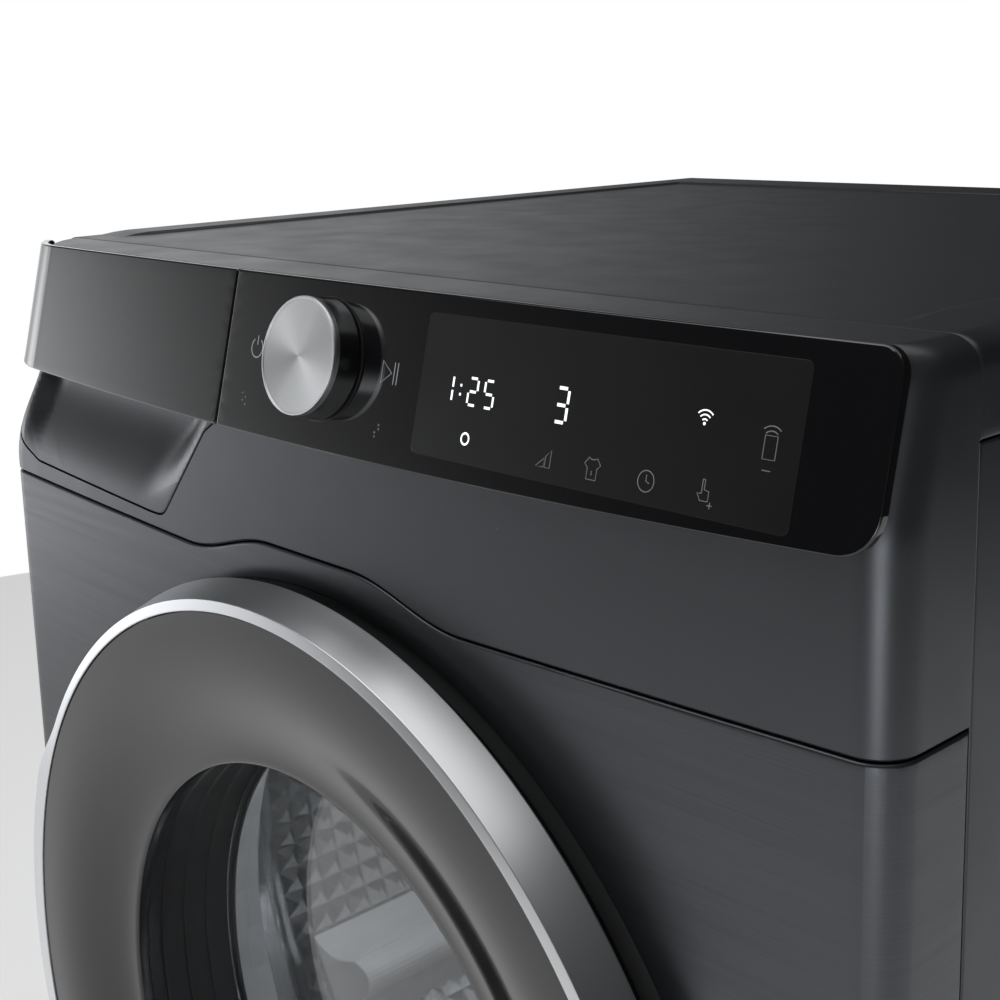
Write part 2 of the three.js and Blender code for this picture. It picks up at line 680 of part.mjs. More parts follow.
function addLatch() {
  const hook = new THREE.Shape();
  const yRoot = Y_FLANGE[1] + GAP;
  hook.moveTo(LATCH.x[0], yRoot);
  hook.lineTo(LATCH.x[1], yRoot);
  hook.lineTo(LATCH.x[1], -268);
  hook.lineTo(LATCH.x[1] + 4, -266);
  hook.lineTo(LATCH.x[1], -262);
  hook.lineTo(LATCH.x[0], -262);
  add('door_hook', prismZ(hook, LATCH.z), ...ZINC);
  const [x, y] = [[LATCH.x[0] - 9, LATCH.x[1] + 11], [-277, -252]];
  const housing = box(x, y, [LATCH.z[0] - 12, LATCH.z[1] + 12])
    .subtract(box([x[0] + 4, x[1] - 3], [-290, y[1] - 3], [LATCH.z[0] - 5, LATCH.z[1] + 5]));
  add('latch_housing', housing, ...BLACK_PLASTIC);
}

// ---------- front bulkhead, loading neck and lint filter ----------
const FILTER = { x: [-92, 92], y: [-231, -213], z: [150, 286] };

function rollerPlace(side) {
  const reach = DRUM_RIM_R + ROLLER_R + GAP;
  return [side * reach * Math.sin(ROLLER_ANGLE), DRUM_Z - reach * Math.cos(ROLLER_ANGLE)];
}

function addFrontBulkhead() {
  const t = 3.5;
  const yPlate = [Y_BULKHEAD - t, Y_BULKHEAD];
  const outline = polygon([[-283, 156], [-283, 758], [283, 758], [283, 156],
    [279, 156], [279, 20.5], [235, 20.5], [235, 156]]);
  let bulkhead = union(
    prismY(outline, yPlate),
    ringY(NECK_R, NECK_R + t, [Y_NECK_FRONT, Y_BULKHEAD - 1], 0, DOOR_Z),
    ringY(NECK_R + 1, 256, [Y_NECK_FRONT, Y_NECK_FRONT + 3], 0, DOOR_Z));
  for (const side of [-1, 1]) {
    const [x, z] = rollerPlace(side);
    bulkhead = bulkhead.add(discY(6, [Y_BULKHEAD - 1, -157], x, z, 20));
  }
  const latchSlot = box([LATCH.x[0] - 4, LATCH.x[1] + 8], [-290, -270], [LATCH.z[0] - 4, LATCH.z[1] + 4]);
  const filterSlot = box([FILTER.x[0] - 1.5, FILTER.x[1] + 1.5], [FILTER.y[0] - 1, FILTER.y[1] + 1], [240, 330]);
  bulkhead = bulkhead.subtract(discY(NECK_R, [-290, -190], 0, DOOR_Z)).subtract(latchSlot).subtract(filterSlot);
  add('front_bulkhead', bulkhead, ...GREY_PLASTIC);
}

function addSeals() {
  add('front_drum_seal', ringY(229, 243, [Y_BULKHEAD + GAP, DRUM_Y[0] - 0.5], 0, DRUM_Z), ...FELT);
  add('door_gasket', ringY(192, 206, [Y_FLANGE[1] + 0.4, Y_NECK_FRONT - GAP], 0, DOOR_Z), ...RUBBER);
}

function addLintFilter() {
  const t = 3;
  const frame = box(FILTER.x, FILTER.y, FILTER.z)
    .subtract(box([FILTER.x[0] + t, FILTER.x[1] - t], [FILTER.y[0] - 1, FILTER.y[1] + 1],
      [FILTER.z[0] + t, FILTER.z[1] - 22]))
    .subtract(box([-30, 30], [FILTER.y[0] + 3, FILTER.y[1] - 3], [FILTER.z[1] - 14, FILTER.z[1] + 1]));
  add('lint_filter_frame', frame, ...BLACK_PLASTIC);
  const mid = (FILTER.y[0] + FILTER.y[1]) / 2;
  const mesh = box([FILTER.x[0] + t + GAP, FILTER.x[1] - t - GAP], [mid - 2, mid + 2],
    [FILTER.z[0] + t + GAP, FILTER.z[1] - 22 - GAP]);
  add('lint_filter_mesh', mesh, ...FELT);
}

function addNeckFittings() {
  const lamp = box([-24, 24], [-262, -236], [637, 647]);
  add('drum_lamp', lamp, ...CLEAR);
  const y = Y_BULKHEAD + GAP;
  const sensor = union(box([-55, 55], [y, y + 5], [254, 272]), box([-50, 50], [y, y + 7], [256, 260]),
    box([-50, 50], [y, y + 7], [266, 270]));
  add('moisture_sensor', sensor, ...BLACK_PLASTIC);
}

// ---------- drum and its drive ----------
const SHAFT_R = 12;
const Y_REAR_BULKHEAD = [229, 233];

function addDrum() {
  const [y0, y1] = DRUM_Y;
  const t = SHEET_T;
  const step = { y: -150, run: 10 };
  const profile = [[0, 232], [SHAFT_R, 232], [SHAFT_R, y1], [DRUM_R - 8, y1], [DRUM_R, y1 - 8],
    [DRUM_R, step.y + step.run], [DRUM_RIM_R, step.y], [DRUM_RIM_R, y0], [DRUM_MOUTH_R, y0],
    [DRUM_MOUTH_R, y0 + t], [DRUM_RIM_R - t, y0 + t], [DRUM_RIM_R - t, step.y + 1],
    [DRUM_R - t, step.y + step.run + 1], [DRUM_R - t, y1 - 9], [DRUM_R - 9, y1 - t], [0, y1 - t]];
  add('drum_shell', latheY(profile, 0, DRUM_Z, 40), ...STEEL);

  const lifter = { half: 34, height: 48, y: [-120, 190] };
  const base = DRUM_R - t - 3.4;
  for (let i = 0; i < 3; i += 1) {
    const shape = new THREE.Shape();
    shape.moveTo(-lifter.half, -base);
    shape.quadraticCurveTo(-14, -base + 10, -12, -base + lifter.height - 10);
    shape.quadraticCurveTo(0, -base + lifter.height + 10, 12, -base + lifter.height - 10);
    shape.quadraticCurveTo(14, -base + 10, lifter.half, -base);
    const geometry = extrude(shape, lifter.y[1] - lifter.y[0]);
    geometry.rotateX(Math.PI / 2);
    geometry.translate(0, lifter.y[1], 0);
    geometry.rotateY((i + 0.5) * 2 * Math.PI / 3);
    geometry.translate(0, 0, DRUM_Z);
    add(`drum_lifter_${i + 1}`, asSolid(geometry), ...GREY_PLASTIC);
  }
}

function addRollers() {
  for (const [name, side] of [['drum_roller_left', -1], ['drum_roller_right', 1]]) {
    const [x, z] = rollerPlace(side);
    add(name, ringY(6.3, ROLLER_R, [-184, -160], x, z, 32), ...RUBBER);
  }
}

// outline round the drum, the idler and the motor pulley, at a distance outside them
function beltLoop(distance) {
  const circles = [
    { x: 0, z: DRUM_Z, r: DRUM_R }, { x: MOTOR_X, z: MOTOR_Z, r: PULLEY_R }, IDLER,
  ];
  const steps = 72;
  const reach = (a) => Math.max(...circles.map(({ x, z, r }) => x * Math.cos(a) + z * Math.sin(a) + r)) + distance;
  const points = [];
  for (let i = 0; i < steps; i += 1) {
    const [a, b] = [2 * Math.PI * i / steps, 2 * Math.PI * (i + 1) / steps];
    const [ra, rb] = [reach(a), reach(b)];
    const across = Math.sin(b - a);
    points.push([(ra * Math.sin(b) - rb * Math.sin(a)) / across, (rb * Math.cos(a) - ra * Math.cos(b)) / across]);
  }
  return polygon(points);
}

function addBelt() {
  const belt = prismY(beltLoop(GAP + BELT_T), BELT_Y).subtract(prismY(beltLoop(GAP), [BELT_Y[0] - 1, BELT_Y[1] + 1]));
  add('drive_belt', belt, ...RUBBER);
}

function addMotor() {
  const [y0, y1] = [-10, 122];
  const body = union(
    latheY([[7.5, y0], [30, y0], [48, y0 + 14], [48, y1 - 14], [30, y1], [7.5, y1], [7.5, y0]], MOTOR_X, MOTOR_Z, 32),
    box([MOTOR_X - 40, MOTOR_X + 40], [20, 92], [BASE_Z + 4 + GAP, 58]),
    box([MOTOR_X - 74, MOTOR_X - 40], [-10, 14], [BASE_Z + 4 + GAP, 28]),
    box([MOTOR_X - 74, MOTOR_X - 30], [4, 14], [BASE_Z + 5, IDLER.z + 8]),
    discY(5, [-44, 8], IDLER.x, IDLER.z, 16));
  add('motor_housing', body.subtract(discY(7.5, [-20, 130], MOTOR_X, MOTOR_Z, 32)), ...ZINC);
  const shaft = latheY([[0, -46], [PULLEY_R, -46], [PULLEY_R, -22], [7, -20], [7, 214], [0, 214]],
    MOTOR_X, MOTOR_Z, 32);
  add('motor_rotor', shaft, ...STEEL);
  add('idler_pulley', ringY(5.3, IDLER.r, [-43, -25], IDLER.x, IDLER.z, 32), ...GREY_PLASTIC);
}

function addFan() {
  const blades = 10;
  let wheel = ringY(7.3, 14, [175, 213], MOTOR_X, MOTOR_Z, 32).add(ringY(13, 54, [209, 213], MOTOR_X, MOTOR_Z, 32));
  for (let i = 0; i < blades; i += 1) {
    const blade = new THREE.BoxGeometry(22, 36, 2);
    blade.translate(42, 192, 0);
    blade.rotateY(i * 2 * Math.PI / blades);
    blade.translate(MOTOR_X, 0, MOTOR_Z);
    wheel = wheel.add(asSolid(blade));
  }
  add('fan_wheel', wheel, ...BLACK_PLASTIC);
  const profile = [[36, 165], [62, 165], [62, 228.6], [59, 228.6], [59, 168], [36, 168]];
  add('fan_housing', latheY([...profile, profile[0]], MOTOR_X, MOTOR_Z, 48), ...GREY_PLASTIC);
}

function addRearBulkhead() {
  const [y0, y1] = Y_REAR_BULKHEAD;
  let bulkhead = box([-283, 283], [y0, y1], [45, 758])
    .add(discY(34, [221, y1 + 8], 0, DRUM_Z, 32))
    .subtract(discY(SHAFT_R + 0.3, [200, 260], 0, DRUM_Z, 40))
    .subtract(discY(40, [200, 260], MOTOR_X, MOTOR_Z, 32));
  for (let i = 0; i < 6; i += 1) {
    const angle = (i + 0.5) * Math.PI / 3;
    bulkhead = bulkhead.subtract(discY(36, [200, 260], 150 * Math.cos(angle), DRUM_Z + 150 * Math.sin(angle), 16));
  }
  add('rear_bulkhead', bulkhead, ...ZINC);
}

// ---------- heat pump ----------
const DUCT = { x: [-275, -65], y: [-235, 164], z: [28, 150] };

function addHeatPump() {
  const t = 3;
  const cross = { x: [-80, 148], y: [126, 164] };
  const shrink = ([a, b]) => [a + t, b - t];
  const duct = box(DUCT.x, DUCT.y, DUCT.z).add(box(cross.x, cross.y, DUCT.z))
    .subtract(box(shrink(DUCT.x), [DUCT.y[0] - 1, DUCT.y[1] - t], shrink(DUCT.z)))
    .subtract(box([cross.x[0] - 10, cross.x[1] - t], shrink(cross.y), shrink(DUCT.z)))
    .subtract(discY(36, [150, 170], MOTOR_X, MOTOR_Z, 32))
    .subtract(discY(9, [110, 140], MOTOR_X, MOTOR_Z, 24));
  add('exchanger_duct', duct, ...GREY_PLASTIC);

  const [x, z] = [[DUCT.x[0] + 4, DUCT.x[1] - 4], [DUCT.z[0] + 4, DUCT.z[1] - 4]];
  add('evaporator', box(x, [-185, -105], z), 0xb9bcc0, 0.4, 0.9);
  add('condenser', box(x, [-75, 65], z), 0xb9bcc0, 0.4, 0.9);

  const can = latheZ([[0, 20.4], [40, 20.4], [40, 26], [54, 34], [55, 60], [55, 185], [46, 208], [20, 218], [0, 218]],
    215, 60, 32);
  add('compressor', can, 0x1c1d1f, 0.5, 0.3);
  const pipe = tube([[215, 3.8, 150], [215, -4, 150], [208, -13, 155], [190, -15, 160], [110, -15, 163], [10, -15, 163],
    [-38, -15, 156], [-50, -15, 142], [-58, -15, 134], [-64, -15, 134]], 5, 18);
  add('refrigerant_pipe', pipe, ...COPPER);
}

function addCondensatePump() {
  const z = [BASE_Z + 4 + GAP, 84];
  add('condensate_pump', box([170, 225], [-190, -130], z).add(discZ(16, [80, 108], 198, -160, 24)), ...BLACK_PLASTIC);
  const hose = tube([[205, -190.5, 62], [205, -205, 62], [222, -232, 66], [258, -242, 78], [270, -242, 110], [270, -242, 300],
    [270, -242, 560], [270, -242, 700], [262, -242, 745], [220, -242, 764], [60, -242, 764], [-40, -242, 764],
    [-76, -240, 774], [-83, -240, 774]], 5, 36);
  add('pump_hose', hose, ...RUBBER);
}

addBase();
addFeet();
addSidePanels();
addRearPanel();
addRearFittings();
addTopCover();
addFrontPanel();
addFilterFlap();
addAirGrille();
addControlFascia();
addControlGlass();
addDisplay();
addKnob();
addBoardBox();
addDrawer();
addTankHousing();
addDoorRing();
addDoorFunnel();
addDoorLiner();
addDoorWindow();
addHinge();
addLatch();
addFrontBulkhead();
addSeals();
addLintFilter();
addNeckFittings();
addDrum();
addRollers();
addBelt();
addMotor();
addFan();
addRearBulkhead();
addHeatPump();
addCondensatePump();

export default dryer;
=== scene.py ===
# Looks of a front-loading heat-pump dryer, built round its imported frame.
# Pieces are drawn in millimetres in the frame's own axes and turned into metres as each mesh is made.
import json
import math

import bmesh
import bpy
from mathutils import Matrix, Vector


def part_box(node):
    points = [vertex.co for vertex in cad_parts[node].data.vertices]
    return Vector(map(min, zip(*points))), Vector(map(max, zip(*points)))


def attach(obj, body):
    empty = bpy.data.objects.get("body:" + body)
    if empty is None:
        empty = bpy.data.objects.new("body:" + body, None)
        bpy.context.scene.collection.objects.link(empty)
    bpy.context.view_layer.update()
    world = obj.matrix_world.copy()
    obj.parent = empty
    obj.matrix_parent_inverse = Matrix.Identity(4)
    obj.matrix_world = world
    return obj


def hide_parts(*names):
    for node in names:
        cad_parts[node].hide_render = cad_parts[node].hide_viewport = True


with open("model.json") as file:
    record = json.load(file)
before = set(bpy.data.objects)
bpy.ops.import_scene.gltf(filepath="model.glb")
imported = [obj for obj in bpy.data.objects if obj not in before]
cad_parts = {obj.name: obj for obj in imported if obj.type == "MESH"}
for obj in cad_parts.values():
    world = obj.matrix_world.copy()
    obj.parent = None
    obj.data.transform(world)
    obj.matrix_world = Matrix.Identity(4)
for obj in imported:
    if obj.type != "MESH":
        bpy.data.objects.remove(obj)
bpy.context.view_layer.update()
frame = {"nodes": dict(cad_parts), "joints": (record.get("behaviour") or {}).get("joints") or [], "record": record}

MM = 0.001
PIECES = []                         # every new piece, in the order made


def box_mm(node):
    """Lowest and highest corner of a frame node, in millimetres."""
    lo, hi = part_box(node)
    return lo / MM, hi / MM


# ---------- driving sizes
HALF_W = box_mm("side_panel_right")[1].x
TOP_Z = box_mm("top_cover")[1].z
BACK_Y = box_mm("rear_panel")[1].y
PANEL_LO, PANEL_HI = box_mm("front_panel")
SEAM_Y = PANEL_HI.y
SEAM_GAP = 0.7
CORNER_R = 15.0
BOW = 4.0
FRONT_Y = PANEL_LO.y + BOW
FLAT_HALF = HALF_W - CORNER_R
SHEET = 2.0
FLOOR_DROP = 1.5                    # sunk floor of the top cover below its rim
LID_Z = TOP_Z - FLOOR_DROP

GLASS_TILT = math.radians(14)
GLASS_TOP_Y = FRONT_Y + 10
GLASS_T = 3.6
GLASS_MID_Z = 779.0
GLASS_END_Z = 785.5
GLASS_TOP_Z = TOP_Z - 0.6
DIVIDER_X = box_mm("control_glass")[0].x - 0.3
DIVIDER_GAP = 0.35                  # from the divider's middle to each black piece

FUNNEL_LO, FUNNEL_HI = box_mm("door_funnel")
DOOR_Z = (FUNNEL_LO.z + FUNNEL_HI.z) / 2
DOOR_FACE_Y = box_mm("door_ring")[0].y
RING_INNER = FUNNEL_HI.x + 0.5
RING_FRONT = RING_INNER + 5.4
RING_REAR = RING_INNER + 11.5
RING_DEPTH = 20.3
HOLE_R = 158.5
HOLE_Y = FUNNEL_HI.y - 6
RECESS_R = 244.0
LINER_HI = box_mm("door_inner_liner")[1]
LINER_R = 162.0

DRUM_LO, DRUM_HI = box_mm("drum_shell")
DRUM_Z = (DRUM_LO.z + DRUM_HI.z) / 2


# ---------- mesh tools
def mesh_piece(name, verts, faces, material, body, sharp=35.0, matrix=None):
    """A smooth-shaded object in millimetres, with edges sharper than an angle kept crisp."""
    mesh = bpy.data.meshes.new(name)
    mesh.from_pydata([Vector(v) * MM for v in verts], [], faces)
    bm = bmesh.new()
    bm.from_mesh(mesh)
    bmesh.ops.remove_doubles(bm, verts=bm.verts, dist=1e-6)
    bmesh.ops.recalc_face_normals(bm, faces=bm.faces)
    finish_mesh(bm, mesh, sharp)
    return add_piece(name, mesh, material, body, matrix)


def new_object(name, data):
    thing = bpy.data.objects.new(name, data)
    bpy.context.scene.collection.objects.link(thing)
    return thing


def add_piece(name, mesh, material, body, matrix=None):
    piece = new_object(name, mesh)
    if matrix is not None:
        piece.matrix_world = matrix
    piece.data.materials.append(material)
    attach(piece, body)
    PIECES.append(piece)
    return piece


def weigh_normals():
    """Keeps the large faces even-looking beside narrow rounded edges."""
    for piece in PIECES:
        weighted = piece.modifiers.new("normals", "WEIGHTED_NORMAL")
        weighted.keep_sharp = True


def finish_mesh(bm, mesh, sharp):
    limit = math.radians(sharp)
    for face in bm.faces:
        face.smooth = True
    for edge in bm.edges:
        edge.smooth = len(edge.link_faces) != 2 or edge.calc_face_angle(0) < limit
    bm.to_mesh(mesh)
    bm.free()


def fillet(points, radius, closed=True, steps=6):
    """The polyline with each corner rounded; radius is one number or one for each point."""
    radii = radius if isinstance(radius, (list, tuple)) else [radius] * len(points)
    pts = [Vector(p) for p in points]
    out = []
    n = len(pts)
    for i, p in enumerate(pts):
        if not closed and i in (0, n - 1):
            out.append(p)
            continue
        a, b = pts[i - 1] - p, pts[(i + 1) % n] - p
        la, lb = a.length, b.length
        r = radii[i]
        if r <= 0 or la < 1e-6 or lb < 1e-6:
            out.append(p)
            continue
        a.normalize()
        b.normalize()
        angle = a.angle(b)
        if angle > math.pi - 0.02:
            out.append(p)
            continue
        cut = min(r / math.tan(angle / 2), la * 0.49, lb * 0.49)
        r = cut * math.tan(angle / 2)
        centre = p + (a + b).normalized() * (r / math.sin(angle / 2))
        start, end = p + a * cut - centre, p + b * cut - centre
        turn = start.angle(end)
        for k in range(steps + 1):
            t = k / steps
            mix = (start * math.sin((1 - t) * turn) + end * math.sin(t * turn)) / math.sin(turn)
            out.append(centre + mix)
    return [tuple(p) for p in out]


def resample(loop, spacing):
    """A closed loop with extra points, so that no side is longer than the spacing."""
    out = []
    for i, p in enumerate(loop):
        a, b = Vector(p), Vector(loop[(i + 1) % len(loop)])
        steps = max(1, int((b - a).length / spacing))
        out += [tuple(a.lerp(b, k / steps)) for k in range(steps)]
    return out


def signed_area(loop):
    return sum(a[0] * b[1] - b[0] * a[1] for a, b in zip(loop, loop[1:] + loop[:1])) / 2


def inset_loop(loop, distance):
    """Moves a closed loop to the left of its direction."""
    out = []
    n = len(loop)
    for i, p in enumerate(loop):
        before, after = Vector(loop[i - 1]), Vector(loop[(i + 1) % n])
        u = (Vector(p) - before).normalized()
        v = (after - Vector(p)).normalized()
        normal = Vector((-(u.y + v.y), u.x + v.x))
        if normal.length < 1e-9:
            normal = Vector((-u.y, u.x))
        normal.normalize()
        cos = max(0.5, normal.dot(Vector((-u.y, u.x))))
        out.append(tuple(Vector(p) + normal * (distance / cos)))
    return out


EDGE_STEPS = 3                      # facets across a sheet's rounded edge
OFF_POINTS = 0.0137                 # keeps the grid's cuts off the outline's own points


def plate(name, outer, holes, surface, material, body, thickness=2.0, edge=0.8, spacing=14.0, grid=14.0,
          sharp=40.0, cuts=()):
    """A sheet over an outline with holes. surface(u, v, depth) gives a point, and depth goes inwards.

    cuts adds places in u to the grid, where the surface turns fastest."""
    loops = [outer if signed_area(outer) > 0 else outer[::-1]]
    loops += [h if signed_area(h) < 0 else h[::-1] for h in holes]
    bm = bmesh.new()
    fronts, backs = [], []
    for loop in loops:
        loop = resample(loop, spacing)
        rings = [(loop, thickness)]
        for k in range(EDGE_STEPS + 1):
            a = math.pi / 2 * k / EDGE_STEPS
            rings.append((inset_loop(loop, edge * (1 - math.cos(a))), edge * (1 - math.sin(a))))
        rows = [[bm.verts.new((u, v, depth)) for u, v in ring] for ring, depth in rings]
        n = len(loop)
        for low, high in zip(rows, rows[1:]):
            for i in range(n):
                bm.faces.new((low[i], low[(i + 1) % n], high[(i + 1) % n], high[i]))
        fronts += [bm.edges.get((rows[-1][i], rows[-1][(i + 1) % n])) for i in range(n)]
        backs += [bm.edges.get((rows[0][i], rows[0][(i + 1) % n])) for i in range(n)]
    for edges in (fronts, backs):
        bmesh.ops.triangle_fill(bm, use_beauty=True, edges=edges)
    us, vs = [p[0] for p in loops[0]], [p[1] for p in loops[0]]
    for axis, low, high in ((0, min(us), max(us)), (1, min(vs), max(vs))):
        count = max(1, round((high - low) / grid))
        stations = [low + (high - low) * k / count + OFF_POINTS for k in range(1, count)]
        for station in stations + (list(cuts) if axis == 0 else []):
            place = [0, 0, 0]
            place[axis] = station
            normal = [0, 0, 0]
            normal[axis] = 1
            everything = bm.verts[:] + bm.edges[:] + bm.faces[:]
            bmesh.ops.bisect_plane(bm, geom=everything, dist=1e-4, plane_co=place, plane_no=normal)
    for vert in bm.verts:
        vert.co = Vector(surface(*vert.co)) * MM
    bmesh.ops.recalc_face_normals(bm, faces=bm.faces)
    mesh = bpy.data.meshes.new(name)
    finish_mesh(bm, mesh, sharp)
    return add_piece(name, mesh, material, body)


def turned_faces(segments, n, closed=True):
    """Faces between copies of a profile of n points set round an axis."""
    faces = []
    for i in range(segments):
        j = (i + 1) % segments
        for k in range(n if closed else n - 1):
            m = (k + 1) % n
            faces.append((i * n + k, i * n + m, j * n + m, j * n + k))
    return faces


def grid_faces(rows, width):
    """Faces between neighbouring rows of points."""
    faces = []
    for r in range(rows - 1):
        for i in range(width - 1):
            faces.append((r * width + i, r * width + i + 1, (r + 1) * width + i + 1, (r + 1) * width + i))
    return faces


def lathe(name, profile, centre, material, body, segments=128, closed=True, sharp=35.0):
    """A piece turned about Y from a profile of (radius, place along the axis)."""
    verts = []
    for i in range(segments):
        a = 2 * math.pi * i / segments
        verts += [Vector((r * math.cos(a), along, r * math.sin(a))) + Vector(centre) for r, along in profile]
    return mesh_piece(name, verts, turned_faces(segments, len(profile), closed), material, body, sharp)


def rounded_rect(x0, x1, z0, z1, r):
    return fillet([(x0, z0), (x1, z0), (x1, z1), (x0, z1)], r)


def circle(x, z, r, count=96):
    return [(x + r * math.cos(2 * math.pi * i / count), z + r * math.sin(2 * math.pi * i / count))
            for i in range(count)]


def smooth_step(t):
    t = min(1.0, max(0.0, t))
    return t * t * (3 - 2 * t)


# ---------- materials
class Nodes:
    """Short way to lay out a procedural material."""

    def __init__(self, name, color, roughness, metallic=0.0):
        self.material = bpy.data.materials.new(name)
        self.material.use_nodes = True
        self.tree = self.material.node_tree
        self.shader = self.tree.nodes["Principled BSDF"]
        self.shader.inputs["Base Color"].default_value = (*color, 1)
        self.shader.inputs["Roughness"].default_value = roughness
        self.shader.inputs["Metallic"].default_value = metallic
        self.coords = self.tree.nodes.new("ShaderNodeTexCoord").outputs["Object"]

    def set(self, **values):
        for key, value in values.items():
            self.shader.inputs[key.replace("_", " ").title().replace("Ior", "IOR")].default_value = value
        return self

    def noise(self, scale, stretch=(1, 1, 1), detail=3.0):
        mapping = self.tree.nodes.new("ShaderNodeMapping")
        mapping.inputs["Scale"].default_value = stretch
        self.tree.links.new(self.coords, mapping.inputs["Vector"])
        noise = self.tree.nodes.new("ShaderNodeTexNoise")
        noise.inputs["Scale"].default_value = scale
        noise.inputs["Detail"].default_value = detail
        self.tree.links.new(mapping.outputs["Vector"], noise.inputs["Vector"])
        return noise.outputs["Fac"]

    def ramp(self, fac, low, high, start=0.3, end=0.7):
        ramp = self.tree.nodes.new("ShaderNodeMapRange")
        ramp.inputs["From Min"].default_value = start
        ramp.inputs["From Max"].default_value = end
        ramp.inputs["To Min"].default_value = low
        ramp.inputs["To Max"].default_value = high
        self.tree.links.new(fac, ramp.inputs["Value"])
        return ramp.outputs["Result"]

    def mix(self, fac, a, b):
        mix = self.tree.nodes.new("ShaderNodeMix")
        mix.data_type = "RGBA"
        self.tree.links.new(fac, mix.inputs["Factor"])
        mix.inputs["A"].default_value = (*a, 1)
        mix.inputs["B"].default_value = (*b, 1)
        return mix.outputs["Result"]

    def vary(self, socket, value):
        self.tree.links.new(value, self.shader.inputs[socket])
        return self

    def bump(self, height, strength, distance):
        bump = self.tree.nodes.new("ShaderNodeBump")
        bump.inputs["Strength"].default_value = strength
        bump.inputs["Distance"].default_value = distance
        self.tree.links.new(height, bump.inputs["Height"])
        self.tree.links.new(bump.outputs["Normal"], self.shader.inputs["Normal"])
        return self


def scaled(color, factor):
    return tuple(c * factor for c in color)


def metallic_paint(name, color, roughness, metallic, brushed):
    """Graphite finish; brushed adds fine level lines across the sheet."""
    m = Nodes(name, color, roughness, metallic)
    lines = m.noise(60, (0.12, 0.12, 22), 4) if brushed else m.noise(900, detail=2)
    spread = 0.16 if brushed else 0.05
    m.vary("Base Color", m.mix(lines, scaled(color, 1 - spread), scaled(color, 1 + spread)))
    m.vary("Roughness", m.ramp(m.noise(35 if not brushed else 8, (1, 1, 1 if not brushed else 30)),
                               roughness - 0.03, roughness + 0.03))
    m.bump(lines, 0.08 if brushed else 0.03, 0.0002)
    return m.material


def moulded_plastic(name, color, roughness, grain=1800, depth=0.00015):
    m = Nodes(name, color, roughness)
    m.vary("Base Color", m.mix(m.noise(40), scaled(color, 0.9), scaled(color, 1.1)))
    m.vary("Roughness", m.ramp(m.noise(55), roughness - 0.05, roughness + 0.05))
    m.bump(m.noise(grain, detail=2), 0.25, depth)
    return m.material


def piano_black(name, color, roughness, coat=0.5):
    m = Nodes(name, color, roughness)
    m.set(coat_weight=coat, coat_roughness=0.03)
    m.vary("Base Color", m.mix(m.noise(12), scaled(color, 0.9), scaled(color, 1.1)))
    m.vary("Roughness", m.ramp(m.noise(30), roughness - 0.01, roughness + 0.02))
    return m.material


def turned_metal(name, color, roughness, anisotropic, axis="Z", rings=4000):
    """Metal with circular tool marks about one axis of the piece."""
    m = Nodes(name, color, roughness, 1.0)
    m.set(anisotropic=anisotropic)
    tangent = m.tree.nodes.new("ShaderNodeTangent")
    tangent.direction_type = "RADIAL"
    tangent.axis = axis
    m.tree.links.new(tangent.outputs["Tangent"], m.shader.inputs["Tangent"])
    m.vary("Roughness", m.ramp(m.noise(rings, detail=2), roughness - 0.02, roughness + 0.02))
    m.vary("Base Color", m.mix(m.noise(rings, detail=1), scaled(color, 0.97), scaled(color, 1.02)))
    return m.material


def galvanised(name, color, roughness):
    m = Nodes(name, color, roughness, 0.9)
    m.vary("Base Color", m.mix(m.noise(90, detail=5), scaled(color, 0.75), scaled(color, 1.15)))
    m.vary("Roughness", m.ramp(m.noise(60), roughness - 0.08, roughness + 0.1))
    m.bump(m.noise(300), 0.1, 0.0002)
    return m.material


def soft_rubber(name, color):
    m = Nodes(name, color, 0.75)
    m.vary("Base Color", m.mix(m.noise(70), scaled(color, 0.8), scaled(color, 1.3)))
    m.vary("Roughness", m.ramp(m.noise(120), 0.65, 0.85))
    m.bump(m.noise(700), 0.3, 0.0003)
    return m.material


def wool_felt(name, color):
    m = Nodes(name, color, 0.95)
    m.set(sheen_weight=0.4)
    m.vary("Base Color", m.mix(m.noise(500, detail=6), scaled(color, 0.6), scaled(color, 1.3)))
    m.bump(m.noise(900, detail=6), 0.8, 0.0006)
    return m.material


def clear_glass(name, color, roughness=0.02):
    m = Nodes(name, color, roughness)
    m.set(transmission_weight=1.0, ior=1.45, specular_ior_level=0.2)
    m.vary("Roughness", m.ramp(m.noise(20), roughness, roughness + 0.02))
    return m.material


def glowing(name, color, strength):
    m = Nodes(name, color, 0.4)
    m.set(emission_strength=strength)
    m.shader.inputs["Emission Color"].default_value = (*color, 1)
    m.vary("Base Color", m.mix(m.noise(200), scaled(color, 0.9), color))
    return m.material


GRAPHITE = (0.088, 0.092, 0.1)
FASCIA = metallic_paint("graphite_fascia", GRAPHITE, 0.34, 0.75, False)
FRONT = metallic_paint("graphite_brushed", scaled(GRAPHITE, 1.1), 0.33, 0.8, True)
CABINET = metallic_paint("graphite_cabinet", scaled(GRAPHITE, 0.9), 0.36, 0.75, False)
BLACK = piano_black("piano_black", (0.006, 0.006, 0.007), 0.08)
SMOKED = piano_black("smoked_window", (0.012, 0.012, 0.013), 0.3, 0.2)
FUNNEL_BLACK = piano_black("door_dish_black", (0.006, 0.006, 0.007), 0.16)
DARK_PLASTIC = moulded_plastic("black_plastic", (0.012, 0.012, 0.013), 0.45)
LINER_BLACK = moulded_plastic("door_wall_black", (0.007, 0.007, 0.008), 0.38)
BASE_PLASTIC = moulded_plastic("base_plastic", (0.03, 0.03, 0.032), 0.65, 900, 0.0003)
GREY_PLASTIC = moulded_plastic("grey_plastic", (0.16, 0.165, 0.17), 0.5)
WHITE_PLASTIC = moulded_plastic("white_plastic", (0.6, 0.6, 0.6), 0.5)
